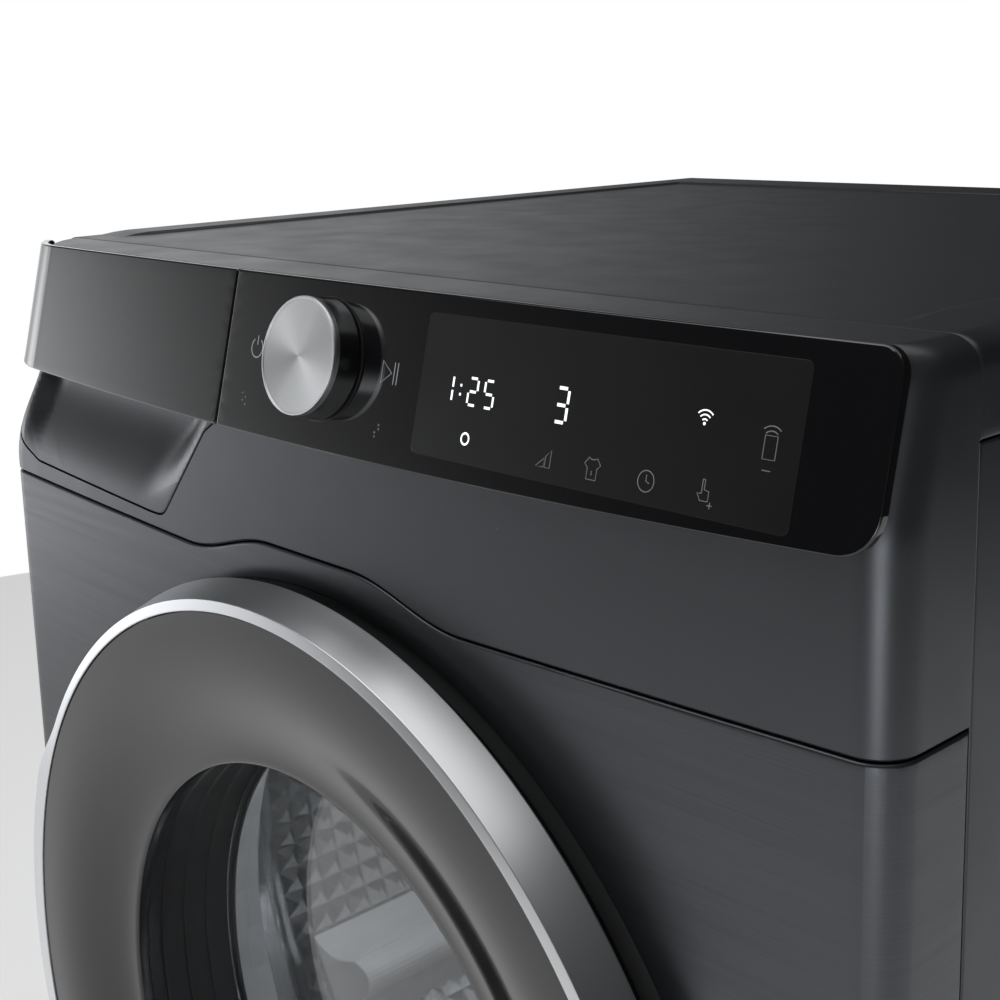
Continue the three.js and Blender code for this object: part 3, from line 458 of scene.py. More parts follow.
SPUN_METAL = turned_metal("spun_metal", (0.88, 0.89, 0.9), 0.3, 0.85, "Z")
KNOB_SIDE = turned_metal("knob_side_metal", (0.2, 0.205, 0.21), 0.2, 0.2, "Z")
RING_METAL = turned_metal("ring_metal", (0.82, 0.83, 0.85), 0.3, 0.3, "Y")
STEEL = turned_metal("drum_steel", (0.62, 0.63, 0.64), 0.14, 0.0, "Y", 900)
ZINC = galvanised("galvanised_sheet", (0.45, 0.47, 0.48), 0.42)
RUBBER = soft_rubber("rubber", (0.015, 0.015, 0.015))
FELT = wool_felt("grey_felt", (0.3, 0.31, 0.32))
GLASS = clear_glass("window_glass", (0.93, 0.95, 0.96))
FINS = galvanised("aluminium_fins", (0.6, 0.61, 0.62), 0.38)
COPPER = galvanised("copper_pipe", (0.6, 0.3, 0.16), 0.3)
ENAMEL = moulded_plastic("black_enamel", (0.015, 0.015, 0.016), 0.35, 600)
LIT = glowing("lit_marks", (0.9, 0.93, 0.95), 1.0)
DIM = glowing("dim_marks", (0.35, 0.36, 0.37), 0.25)
MUTED = glowing("muted_marks", (0.2, 0.205, 0.21), 0.12)


# ---------- front surfaces
def bow(x):
    return BOW * max(0.0, 1 - (x / FLAT_HALF) ** 2)


def corner_radius(side, z):
    """Plan radius of the front's corners: the left one opens out behind the tilted panel."""
    if side > 0:
        return CORNER_R
    return CORNER_R + (LEFT_TOP_R - CORNER_R) * smooth_step((z - 724) / 66)


def wrap(s, front_y, radius=CORNER_R):
    """Point and outward normal on the front's plan, s being the way round from the middle."""
    sign = -1 if s < 0 else 1
    a = abs(s)
    flat = HALF_W - radius
    quarter = radius * math.pi / 2
    if a <= flat:
        return Vector((s, front_y - bow(s))), Vector((sign * 2 * BOW * a / FLAT_HALF ** 2, -1)).normalized()
    start = front_y - bow(flat)
    if a <= flat + quarter:
        turn = (a - flat) / radius
        normal = Vector((sign * math.sin(turn), -math.cos(turn)))
        return Vector((sign * flat, start + radius)) + normal * radius, normal
    return Vector((sign * HALF_W, start + radius + a - flat - quarter)), Vector((sign, 0))


def wrap_end(front_y, radius):
    """The way round from the middle to the seam on the side."""
    flat = HALF_W - radius
    return flat + radius * math.pi / 2 + SEAM_Y - (front_y - bow(flat) + radius)


def plan_y(x, front_y, radius):
    """Depth of the front at X, along the same corners."""
    flat = HALF_W - radius
    past = min(max(0.0, abs(x) - flat), radius - 0.3)
    return front_y - bow(min(abs(x), flat)) + radius - math.sqrt(radius ** 2 - past ** 2)


LEFT_TOP_R = 58.0
SCOOP_DEPTH = 19.0
WRAP_END = wrap_end(FRONT_Y, CORNER_R)

SEAM_END_Z = 718.0
SEAM_DIP_Z = 712.5
HUMP_H = 13.0
HUMP_FLAT = 30.0
HUMP_HALF = 100.0


def seam_z(s):
    a = abs(s)
    if a > HUMP_HALF:
        return SEAM_DIP_Z + (SEAM_END_Z - SEAM_DIP_Z) * (min(a, HALF_W) - HUMP_HALF) / (HALF_W - HUMP_HALF)
    blend = max(0.0, (a - HUMP_FLAT) / (HUMP_HALF - HUMP_FLAT))
    return SEAM_DIP_Z + HUMP_H * (0.5 + 0.5 * math.cos(math.pi * blend))


def front_surface(s, z, depth):
    point, normal = wrap(s, FRONT_Y)
    point = point - normal * depth
    return point.x, point.y, z


def glass_bottom(x):
    return GLASS_MID_Z + (GLASS_END_Z - GLASS_MID_Z) * (x / HALF_W) ** 2


def glass_front_y(x, z):
    return GLASS_TOP_Y - bow(x) - math.tan(GLASS_TILT) * (TOP_Z - z)


def glass_surface(x, z, depth):
    return (x, glass_front_y(x, z) + depth * math.cos(GLASS_TILT), z - depth * math.sin(GLASS_TILT) * 0.5)


# ---------- casing
def build_front_panel():
    steps = 120
    top = [(-WRAP_END + 2 * WRAP_END * i / steps) for i in range(steps + 1)]
    outline = [(s, seam_z(s) - SEAM_GAP / 2) for s in reversed(top)]
    outline = [(-WRAP_END, PANEL_LO.z), (WRAP_END, PANEL_LO.z)] + outline
    flap_lo, flap_hi = box_mm("filter_flap")
    grille_lo, grille_hi = box_mm("air_grille")
    holes = [circle(0, DOOR_Z, RECESS_R, 180)]
    for lo, hi in ((flap_lo, flap_hi), (grille_lo, grille_hi)):
        holes.append(rounded_rect(lo.x - 0.8, hi.x + 0.8, lo.z - 0.8, hi.z + 0.8, 3))
    bends = [side * (FLAT_HALF + 2.3 * k) for side in (-1, 1) for k in range(11)]
    piece = plate("front_panel_sheet", outline, holes, front_surface, FRONT, "cabinet", SHEET, 1.4, 6, 12,
                  cuts=bends)
    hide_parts("front_panel")


def fascia_front_y(z):
    """Front of the fascia: upright below the glass, leaning back behind it."""
    lean = GLASS_TOP_Y - math.tan(GLASS_TILT) * (TOP_Z - z) + GLASS_T + 1.2
    return max(FRONT_Y, lean)


def build_fascia():
    side_r = 12.0
    front_r = 3.0
    columns = 200
    rows = [("edge", k) for k in range(3)]
    rows += [("face", k) for k in range(1, 25)] + [("top", k) for k in range(11)]
    verts = []
    for kind, k in rows:
        for i in range(columns + 1):
            share = -1 + 2 * i / columns
            low = seam_z(share * WRAP_END) + SEAM_GAP / 2
            inset = 0.0
            drop_front = 0.0
            if kind == "edge":
                a = math.pi / 2 * k / 2
                z = low + 1.0 * math.sin(a)
                inset = 1.0 * (1 - math.sin(a))
            elif kind == "face":
                z = low + 1.0 + (LID_Z - side_r - low - 1.0) * k / 24
            else:
                a = math.pi / 2 * k / 10
                z = LID_Z - side_r + side_r * math.sin(a)
                inset = side_r * (1 - math.cos(a))
                start = LID_Z - front_r
                t = max(0.0, (z - start) / front_r)
                drop_front = front_r * (1 - math.sqrt(max(0.0, 1 - t * t)))
            y_front = fascia_front_y(z)
            radius = corner_radius(share, z)
            point, normal = wrap(share * wrap_end(y_front, radius), y_front, radius)
            squeeze = Vector((normal.x * inset, normal.y * (drop_front if kind == "top" else inset)))
            point = point - squeeze
            verts.append((point.x, min(point.y, SEAM_Y), z))
    width = columns + 1
    faces = grid_faces(len(rows), width)
    last = (len(rows) - 1) * width
    middle = columns // 2
    for i in range(middle):
        j = columns - i
        if j - i > 1:
            faces.append((last + i, last + i + 1, last + j - 1, last + j))
    shell = mesh_piece("control_fascia_shell", verts, faces, FASCIA, "cabinet", 30)
    thicken(shell, 2.4)
    cutter = prism_cutter(drawer_outline(0.0), -330, -245)
    cut(shell, cutter)
    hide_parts("control_fascia")


def thicken(piece, thickness):
    """Gives an open surface a wall behind it."""
    wall = piece.modifiers.new("wall", "SOLIDIFY")
    wall.thickness = thickness * MM
    wall.offset = -1


def prism_cutter(outline, y0, y1):
    """A plain prism along Y, used to cut an opening."""
    n = len(outline)
    verts = [(x, y0, z) for x, z in outline] + [(x, y1, z) for x, z in outline]
    faces = [tuple(range(n)), tuple(reversed(range(n, 2 * n)))]
    faces += [(i, (i + 1) % n, n + (i + 1) % n, n + i) for i in range(n)]
    mesh = bpy.data.meshes.new("cutter")
    mesh.from_pydata([Vector(v) * MM for v in verts], [], faces)
    bm = bmesh.new()
    bm.from_mesh(mesh)
    bmesh.ops.recalc_face_normals(bm, faces=bm.faces)
    bm.to_mesh(mesh)
    bm.free()
    return new_object("cutter", mesh)


def cut(piece, cutter, sharp=30.0):
    """Applies the piece's modifiers and a cut, then removes the cutter."""
    boolean = piece.modifiers.new("cut", "BOOLEAN")
    boolean.operation = "DIFFERENCE"
    boolean.object = cutter
    boolean.solver = "EXACT"
    bake_modifiers(piece, sharp)
    bpy.data.objects.remove(cutter)


def bake_modifiers(piece, sharp=30.0):
    bpy.context.view_layer.update()
    evaluated = piece.evaluated_get(bpy.context.evaluated_depsgraph_get())
    mesh = bpy.data.meshes.new_from_object(evaluated)
    bm = bmesh.new()
    bm.from_mesh(mesh)
    finish_mesh(bm, mesh, sharp)
    old = piece.data
    piece.modifiers.clear()
    piece.data = mesh
    bpy.data.meshes.remove(old)


def drawer_outline(inset):
    """Outline in X and Z of the tank drawer's face below the glass, closed behind the glass."""
    top = 846.0
    points = [(-262, 727), (-137, 721), (-124, 721), (-79.5, 771), (-68, 778), (-62, 800), (-62, top),
              (-289, top), (-289, 737)]
    radii = [16, 4, 13, 14, 4, 1.8, 1.8, 1.8, 20]
    loop = fillet(points, radii, steps=8)
    return inset_loop(loop, inset) if inset else loop


def top_height(x, y):
    """Height of the lid, sunk inside a raised border that fades out towards the front."""
    inner_x, inner_back, front = 263.0, 267.0, -212.0
    slope = 3.2
    outside = max(abs(x) - inner_x, y - inner_back)
    rise = smooth_step((outside + slope / 2) / slope)
    fade = smooth_step((y - front) / 16 + 0.5)
    return LID_Z + FLOOR_DROP * rise * fade


def build_top_cover():
    side_r = 12.0
    back_r = 7.0
    skirt_z = box_mm("top_cover")[0].z
    arc = [(HALF_W - side_r * (1 - math.sin(a)), -side_r * (1 - math.cos(a)))
           for a in [math.pi / 2 * k / 10 for k in range(11)]]
    flat = (0, 60, 120, 180, 220, 245, 255, *range(259, 267), 268, 274, 281)
    half = [(x, 0.0) for x in flat] + arc + [(HALF_W, z) for z in (-16, -20, -24, -28, -31, -33.5)]
    half += [(HALF_W - 0.3, -34.6), (HALF_W - 1.0, skirt_z - TOP_Z), (HALF_W - 3, skirt_z - TOP_Z)]
    section = [(-x, z) for x, z in reversed(half[1:])] + half
    y_start, y_end = SEAM_Y + SEAM_GAP, BACK_Y
    ys = [y_start, y_start + 0.3, y_start + 1.2, y_start + 3]
    ys += [y_start + 3 + (262 - y_start - 3) * k / 60 for k in range(1, 61)]
    ys += [264, 265, 266, 267, 268, 269, 270, 275, 290, 305]
    ys += [y_end - back_r + back_r * math.sin(math.pi / 2 * k / 6) for k in range(7)]
    drops = {len(ys) - 7 + k: back_r * (1 - math.cos(math.pi / 2 * k / 6)) for k in range(7)}
    edge_drop = {0: 1.2, 1: 0.6, 2: 0.1}
    verts = []
    rows = [(y, drops.get(i, 0.0), edge_drop.get(i, 0.0)) for i, y in enumerate(ys)]
    rows += [(y_end, d, 0.0) for d in (12, 20, 28, 33, TOP_Z - skirt_z)]
    for y, drop, edge in rows:
        for x, dz in section:
            z = top_height(x, y) + dz
            if dz <= -0.01:
                z = TOP_Z + dz - (TOP_Z - top_height(x, y)) * max(0, 1 + dz / side_r)
            z = min(z, TOP_Z - drop)
            inward = edge if abs(x) > HALF_W - 13 else 0
            verts.append((x - math.copysign(inward * 0.6, x) if x else x, y, z - edge))
    cover = mesh_piece("top_cover_lid", verts, grid_faces(len(rows), len(section)), CABINET, "cabinet", 38)
    thicken(cover, 2.2)
    bake_modifiers(cover, 38)
    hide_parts("top_cover")


def build_side_panels():
    for name, sign in (("side_panel_left", -1), ("side_panel_right", 1)):
        lo, hi = box_mm(name)
        y0, y1, z0, z1 = lo.y + SEAM_GAP / 2, hi.y, lo.z, hi.z - 0.2

        def emboss(y, z, y0=y0, y1=y1, z0=z0, z1=z1):
            edge = min(y - y0 - 70, y1 - 60 - y, z - z0 - 110, z1 - 110 - z)
            return 3.0 * smooth_step(edge / 22)

        def surface(y, z, depth, sign=sign, emboss=emboss):
            return sign * (HALF_W - emboss(y, z) - depth), y, z

        outline = [(y0, z0), (y1, z0), (y1, z1), (y0, z1)]
        piece = plate(name + "_sheet", outline, [], surface, CABINET, "cabinet", 1.5, 0.9, 10, 11)
        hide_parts(name)


def build_rear_panel():
    lo, hi = box_mm("rear_panel")
    sheet_y = lo.y + 2
    inlet_lo, inlet_hi = box_mm("cord_inlet")
    drain_lo, drain_hi = box_mm("drain_spigot")

    def rise(x, z):
        bulge = smooth_step((236 - math.hypot(x, z - 440)) / 13)
        louvres = 0.0
        for k in range(9):
            across = smooth_step((100 - abs(x)) / 8)
            louvres = max(louvres, across * smooth_step(1 - abs(z - 90 - 11 * k) / 4.5))
        return (hi.y - sheet_y) * bulge * 0.98 + (4 * louvres if z < 190 and bulge == 0 else 0)

    outline = rounded_rect(lo.x + 0.5, hi.x - 0.5, lo.z + 0.5, hi.z - 0.5, 3)
    drain = (drain_lo + drain_hi) / 2
    holes = [rounded_rect(inlet_lo.x - 1, inlet_hi.x + 1, inlet_lo.z - 1, inlet_hi.z + 1, 2),
             circle(drain.x, drain.z, (drain_hi.x - drain_lo.x) / 2 + 1, 32)]
    piece = plate("rear_panel_sheet", outline, holes, lambda x, z, d: (x, sheet_y + rise(x, z) - d, z), ZINC,
                  "cabinet", 1.5, 0.7, 8, 5.5, sharp=70)
    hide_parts("rear_panel")
    screw = [(0, 3.4), (2.2, 3.3), (3.8, 2.4), (4.2, 1.2), (6.0, 1.0), (6.4, 0.0)]
    profile = [(r, sheet_y + h) for r, h in screw]
    for i, (x, z) in enumerate([(x, z) for z in (80, 300, 560, 780) for x in (-284, 284)]):
        head = lathe("rear_screw_%d" % i, profile, (x, 0, z), ZINC, "cabinet", 24, closed=False)


# ---------- control panel
def glass_outline(left, right, steps):
    """Curved lower edge and level upper edge of a length of the black front."""
    bottom = [(x, glass_bottom(x)) for x in [left + (right - left) * i / steps for i in range(steps + 1)]]
    return bottom + [(right, GLASS_TOP_Z), (left, GLASS_TOP_Z)]


def build_glass():
    right = HALF_W - 4
    outline = drop_close(glass_outline(DIVIDER_X + DIVIDER_GAP, right, 24), right, 24)
    outline = fillet_ends(outline, {0: 1.3, -3: 20, -2: 9, -1: 1.3})
    piece = plate("control_glass_pane", outline, [], glass_surface, BLACK, "cabinet", GLASS_T, 0.9, 5, 10)
    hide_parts("control_glass")


def build_display():
    """Satin window over the display, set on the black panel."""
    lo, hi = 81.5, 264
    outline = fillet([(lo, 787.5), (hi, 787.5), (hi, 842), (lo, 842)], 3)
    piece = plate("display_window", outline, [], lambda x, z, d: glass_surface(x, z, d - 0.1), SMOKED,
                  "cabinet", 0.25, 0.08, 8, 12)


def drop_close(outline, x_end, clear):
    """Leaves out points of the lower edge that the next corner's rounding needs."""
    last = len(outline) - 3
    return [p for i, p in enumerate(outline) if i >= last or abs(p[0] - x_end) > clear or i == 0]


def fillet_ends(points, radii):
    """Rounds only the corners named by their index, counted from either end."""
    n = len(points)
    sizes = [0.0] * n
    for index, radius in radii.items():
        sizes[index % n] = radius
    return fillet(points, sizes, steps=8)


def build_drawer():
    left = -HALF_W - 1
    outline = drop_close(glass_outline(left, DIVIDER_X - DIVIDER_GAP, 16), left, 14)
    outline = fillet_ends(outline, {0: 11, -3: 1.3, -2: 1.3, -1: 17})

    def surface(s, z, depth):
        """The tilted face, carried round the machine's left corner."""
        tilted = GLASS_TOP_Y - math.tan(GLASS_TILT) * (TOP_Z - z)
        point, normal = wrap(s, tilted, corner_radius(-1, z))
        point = point - normal * depth
        return point.x, point.y, z - depth * math.sin(GLASS_TILT) * 0.5

    bends = [-HALF_W + LEFT_TOP_R - 3.1 * k for k in range(20)]
    piece = plate("drawer_black_front", outline, [], surface, BLACK, "tank_drawer", GLASS_T, 0.9, 4, 8,
                  cuts=bends)
    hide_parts("drawer_front")
    build_scoop()


def scoop_depth(x, z):
    """How far the hollow lies behind the front, fading out at its lower and side edges."""
    low = 721.5 + max(0.0, -x - 137) * 0.048
    rise = smooth_step((z - low - 2) / 50)
    right_edge = -124 + (z - 721) * 0.89
    right = smooth_step((right_edge - x - 2) / 34)
    left = smooth_step((x + 290) / 30)
    return SCOOP_DEPTH * rise * right * left


def build_scoop():
    def surface(x, z, depth):
        """The fascia's own front, pressed inwards."""
        front = plan_y(x, fascia_front_y(z), corner_radius(-1, z))
        return x, front + scoop_depth(x, z) + depth, z

    piece = plate("drawer_handle_scoop", drawer_outline(0.9), [], surface, FASCIA, "tank_drawer", 2.0, 0.7,
                  4, 4, sharp=60)
    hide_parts("drawer_scoop")


# ---------- knob
KNOB_R = 25.4
KNOB_H = 14.0


def knob_matrix():
    joint = next(j for j in frame["joints"] if j["name"] == "knob_turn")
    axis = Vector(joint["axis"]).normalized()
    foot = Vector(joint["pos_m"])
    return Matrix.Translation(foot) @ axis.to_track_quat("Z", "X").to_matrix().to_4x4()


def turned_local(name, profile, material, body, matrix, segments=160, sharp=35.0):
    """A piece turned about its own Z from a profile of (radius, height)."""
    verts = []
    for i in range(segments):
        a = 2 * math.pi * i / segments
        verts += [(r * math.cos(a), r * math.sin(a), h) for r, h in profile]
    faces = turned_faces(segments, len(profile), closed=False)
    return mesh_piece(name, verts, faces, material, body, sharp, matrix)


def build_knob():
    place = knob_matrix()
    radius, height = KNOB_R, KNOB_H
    cap = fillet([(0, height - 0.7), (radius - 1.1, height - 0.35), (radius - 1.1, height),
                  (radius - 0.2, height), (radius, height - 1.2), (radius, height - 3)],
                 [0, 0.1, 0.25, 0.4, 0.3, 0], closed=False, steps=4)
    cap = [(0, height - 0.7)] + [(r, height - 0.7 + 0.35 * r / radius) for r in (2, 6, 12, 18)] + cap[1:]
    face = turned_local("knob_cap", cap, SPUN_METAL, "knob", place)
    skirt = fillet([(radius, height - 3), (radius + 0.9, 1.6), (radius + 0.3, 0.9), (4, 0.9), (4, -6),
                    (0, -6)], [0, 0.7, 0.5, 0, 0, 0], closed=False, steps=4)
    side = turned_local("knob_skirt", skirt, KNOB_SIDE, "knob", place)
    collar = fillet([(radius + 1.6, -1.5), (radius + 1.6, 0.25), (radius - 2, 0.25), (radius - 2, -1.5)], 0.2,
                    closed=False, steps=3)
    turned_local("knob_collar", collar, DARK_PLASTIC, "cabinet", place)
    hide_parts("program_knob")


# ---------- door
LUG_HALF = math.radians(22)
LUG_BLEND = math.radians(11)
LUG_OUT = 6.0


def lug_out(angle):
    past = (abs(angle) - LUG_HALF) / LUG_BLEND
    return LUG_OUT * (1 - smooth_step(past))


def build_door_ring():
    y = DOOR_FACE_Y
    steps = 360
    verts = []
    for i in range(steps):
        turn = 2 * math.pi * i / steps
        from_left = (turn + math.pi) % (2 * math.pi) - math.pi
        out = lug_out(from_left)
        corners = [(RING_REAR, y + RING_DEPTH), (RING_FRONT + out, y + 0.9), (RING_INNER, y),
                   (RING_INNER - 0.2, y + 3.4), (RING_FRONT - 3 + out, y + 3.8),
                   (RING_REAR - 3, y + RING_DEPTH)]
        profile = fillet(corners, [0.9, 0.5, 0.5, 0.3, 0.8, 0.5], steps=4)
        verts += [(-r * math.cos(turn), depth, DOOR_Z + r * math.sin(turn)) for r, depth in profile]
    ring = mesh_piece("door_trim_ring", verts, turned_faces(steps, len(profile)), RING_METAL, "door", 25)
    lo, hi = box_mm("hinge_bracket")
    for z in (lo.z + 16, hi.z - 16):
        cut(ring, prism_cutter(rounded_rect(hi.x - 8, 262, z - 7.5, z + 7.5, 2), -305, -285), 25)
    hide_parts("door_ring")


def build_door_dish():
    """A bell mouth: nearly level beside the ring, then turning in towards the hole."""
    rim = RING_INNER - 0.7
    steps = 40
    front = []
    for i in range(steps + 1):
        t = i / steps
        y = DOOR_FACE_Y + 1.2 + (HOLE_Y - DOOR_FACE_Y - 1.2) * dish_fall(t)
        front.append((rim + (HOLE_R + 1.6 - rim) * t, y))
    lip = [(HOLE_R + 1.6 - 1.6 * math.sin(a), HOLE_Y + 1.6 - 1.6 * math.cos(a)) for a in (0.8, 1.2, 1.5)]
    rear = [(HOLE_R, HOLE_Y + 6), (HOLE_R + 2.5, HOLE_Y + 6), (HOLE_R + 6, HOLE_Y + 3.5),
            (rim, DOOR_FACE_Y + 4)]
    dish = lathe("door_dish", front + lip + rear, (0, 0, DOOR_Z), FUNNEL_BLACK, "door", 256)
    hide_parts("door_funnel")


def dish_fall(t):
    """Share of the dish's depth reached at a share of the way in, easing out again at the hole's edge."""
    return 0.5 * (1 - math.cos(math.pi * t ** 1.5))


def build_door_liner():
    wall = LINER_R
    y1 = LINER_HI.y
    inner = [(HOLE_R + 0.4, HOLE_Y + 6.4), (wall - 1.2, HOLE_Y + 8)]
    for groove in (-284.0, -270.0, -256.0):
        inner += [(wall - 1.0, groove - 1.2), (wall - 2.0, groove - 0.8), (wall - 2.0, groove + 0.8),
                  (wall - 0.4, groove + 1.2)]
    inner += [(wall, y1 - 2.2), (wall - 4, y1 - 2.0), (wall - 4, y1), (wall + 4, y1)]
    outer = [(wall + 4, -286.8), (236, -286.8), (238, -288), (238, -290), (wall + 4, -290.2)]
    liner = lathe("door_inner_wall", inner + outer, (0, 0, DOOR_Z), LINER_BLACK, "door", 192, sharp=30)
    lo, hi = box_mm("hinge_bracket")
    for z in (lo.z + 16, hi.z - 16):
        cut(liner, prism_cutter(rounded_rect(195, 262, z - 8, z + 8, 2), -296, -280), 30)
    cut(liner, prism_cutter(rounded_rect(-262, -222, DOOR_Z - 40, DOOR_Z + 40, 6), -296, -280), 30)
    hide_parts("door_inner_liner")


def build_door_window():
    lo, hi = box_mm("door_window")
    r = LINER_R - 0.6
    outer, inner = [], []
    for i in range(13):
        t = i / 12
        bulge = 10 * (1 - t * t)
        outer.append((r * t, hi.y - 4 - bulge))
        inner.append((r * t, hi.y - bulge))
    pane = lathe("door_window_pane", outer + inner[::-1], (0, 0, DOOR_Z), GLASS, "door", 160)
    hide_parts("door_window")


# ---------- drum
def build_drum():
    y0, y1 = DRUM_LO.y, box_mm("drum_lifter_1")[1].y + 19
    rim_r, wall_r = 265.5, 275.5
    mouth = box_mm("front_drum_seal")[1].x - 17
    profile = fillet([(mouth, y0), (rim_r + 2.5, y0), (rim_r + 2.5, -150), (wall_r + 2.5, -140),
                      (wall_r + 2.5, y1 - 6), (wall_r - 6, y1 + 2.5), (0, y1 + 2.5)],
                     [2, 3, 3, 3, 6, 3, 0], closed=False, steps=4)
    outer = lathe("drum_outside", profile, (0, 0, DRUM_Z), STEEL, "drum", 192, closed=False)
    lip = fillet([(mouth, y0 + 0.1), (mouth, y0 + 2.5), (rim_r, y0 + 2.5), (rim_r, -149), (wall_r, -139),
                  (wall_r, -134)], [1, 1, 4, 3, 3, 0], closed=False, steps=5)
    lathe("drum_front_lip", lip, (0, 0, DRUM_Z), STEEL, "drum", 192, closed=False)
    build_drum_pattern(-134.0, y1 - 8, wall_r)
    back = fillet([(wall_r, y1 - 8), (wall_r - 2, y1), (0, y1)], [0, 4, 0], closed=False, steps=5)
    lathe("drum_back_wall", back, (0, 0, DRUM_Z), STEEL, "drum", 128, closed=False)
    build_drum_holes(y1)
    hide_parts("drum_shell")


def build_drum_pattern(y0, y1, radius):
    """The drum wall pressed into low four-sided facets, each meeting in a point."""
    around = 112
    rows = 21
    height = 4.0
    verts, faces = [], []

    def point(a, y, r):
        return (r * math.cos(a), y, DRUM_Z + r * math.sin(a))

    for j in range(rows):
        ya, yb = y0 + (y1 - y0) * j / rows, y0 + (y1 - y0) * (j + 1) / rows
        for i in range(around):
            a, b = 2 * math.pi * i / around, 2 * math.pi * (i + 1) / around
            start = len(verts)
            corners = [point(a, ya, radius), point(b, ya, radius), point(b, yb, radius), point(a, yb, radius)]
            verts += corners + [point((a + b) / 2, (ya + yb) / 2, radius - height)]
            faces += [(start + k, start + (k + 1) % 4, start + 4) for k in range(4)]
    piece = mesh_piece("drum_pressed_wall", verts, faces, STEEL, "drum", 2)


def build_drum_holes(y):
    """Rows of shallow dimples in the drum's back wall, where the hot air comes in, coloured black as painted shade
    for the dark inside of the air holes.
    """
    verts, faces = [], []
    for ring in range(9):
        r = 60 + 20 * ring
        count = int(2 * math.pi * r / 16)
        for i in range(count):
            a = 2 * math.pi * i / count
            cx, cz = r * math.cos(a), DRUM_Z + r * math.sin(a)
            start = len(verts)
            verts += [(cx + 2.6 * math.cos(t * math.pi / 4), y - 0.15, cz + 2.6 * math.sin(t * math.pi / 4))
                      for t in range(8)]
            verts += [(cx, y + 1.0, cz)]
            faces += [(start + t, start + (t + 1) % 8, start + 8) for t in range(8)]
    # The black plastic on these dimples is painted shade for the holes' dark inside, not a part of its own.
    piece = mesh_piece("drum_air_hole_shade", verts, faces, DARK_PLASTIC, "drum", 30)


# ---------- marks on the glass
MARK_LIFT = 0.12                    # height of the marks over the glass


def mark(name, strokes, centre, size, material, width):
    """Lines on the glass: strokes are point lists in a unit box, closed when they end where they start."""
    verts, faces = [], []
    for stroke in strokes:
        pts = [Vector((centre[0] + p[0] * size, centre[1] + p[1] * size)) for p in stroke]
        closed = (pts[0] - pts[-1]).length < 1e-6
        if closed:
            pts = pts[:-1]
        n = len(pts)
        start = len(verts)
        for i, p in enumerate(pts):
            before = pts[i - 1] if closed or i else p
            after = pts[(i + 1) % n] if closed or i < n - 1 else p
            along = (after - before).normalized()
            side = Vector((-along.y, along.x)) * width / 2
            for q in (p + side, p - side):
                verts.append(glass_surface(q.x, q.y, -MARK_LIFT))
        for i in range(n if closed else n - 1):
            j = (i + 1) % n
            faces.append((start + 2 * i, start + 2 * i + 1, start + 2 * j + 1, start + 2 * j))
    piece = mesh_piece(name, verts, faces, material, "cabinet", 30)
    thicken(piece, 0.06)


def arc_points(cx, cy, r, start, end, steps=14):
    return [(cx + r * math.cos(math.radians(start + (end - start) * i / steps)),
             cy + r * math.sin(math.radians(start + (end - start) * i / steps))) for i in range(steps + 1)]


SEGMENTS = {
    "a": [(0.08, 1), (0.42, 1)], "b": [(0.5, 0.94), (0.5, 0.56)], "c": [(0.5, 0.44), (0.5, 0.06)],
    "d": [(0.08, 0), (0.42, 0)], "e": [(0, 0.44), (0, 0.06)], "f": [(0, 0.94), (0, 0.56)],
    "g": [(0.08, 0.5), (0.42, 0.5)],
}
DIGITS = {"1": "bc", "2": "abged", "3": "abgcd", "5": "afgcd"}


def digit(char, x, z, height, name, material, width):
    strokes = [[(px, pz) for px, pz in SEGMENTS[seg]] for seg in DIGITS[char]]
    mark(name, strokes, (x, z), height, material, width)


def dots(name, places, radius, material):
    """Small raised points on the glass, for the fingertips."""
    strokes = [arc_points(x, z, radius, 0, 360, 8) for x, z in places]
    mark(name, strokes, (0, 0), 1.0, material, radius)


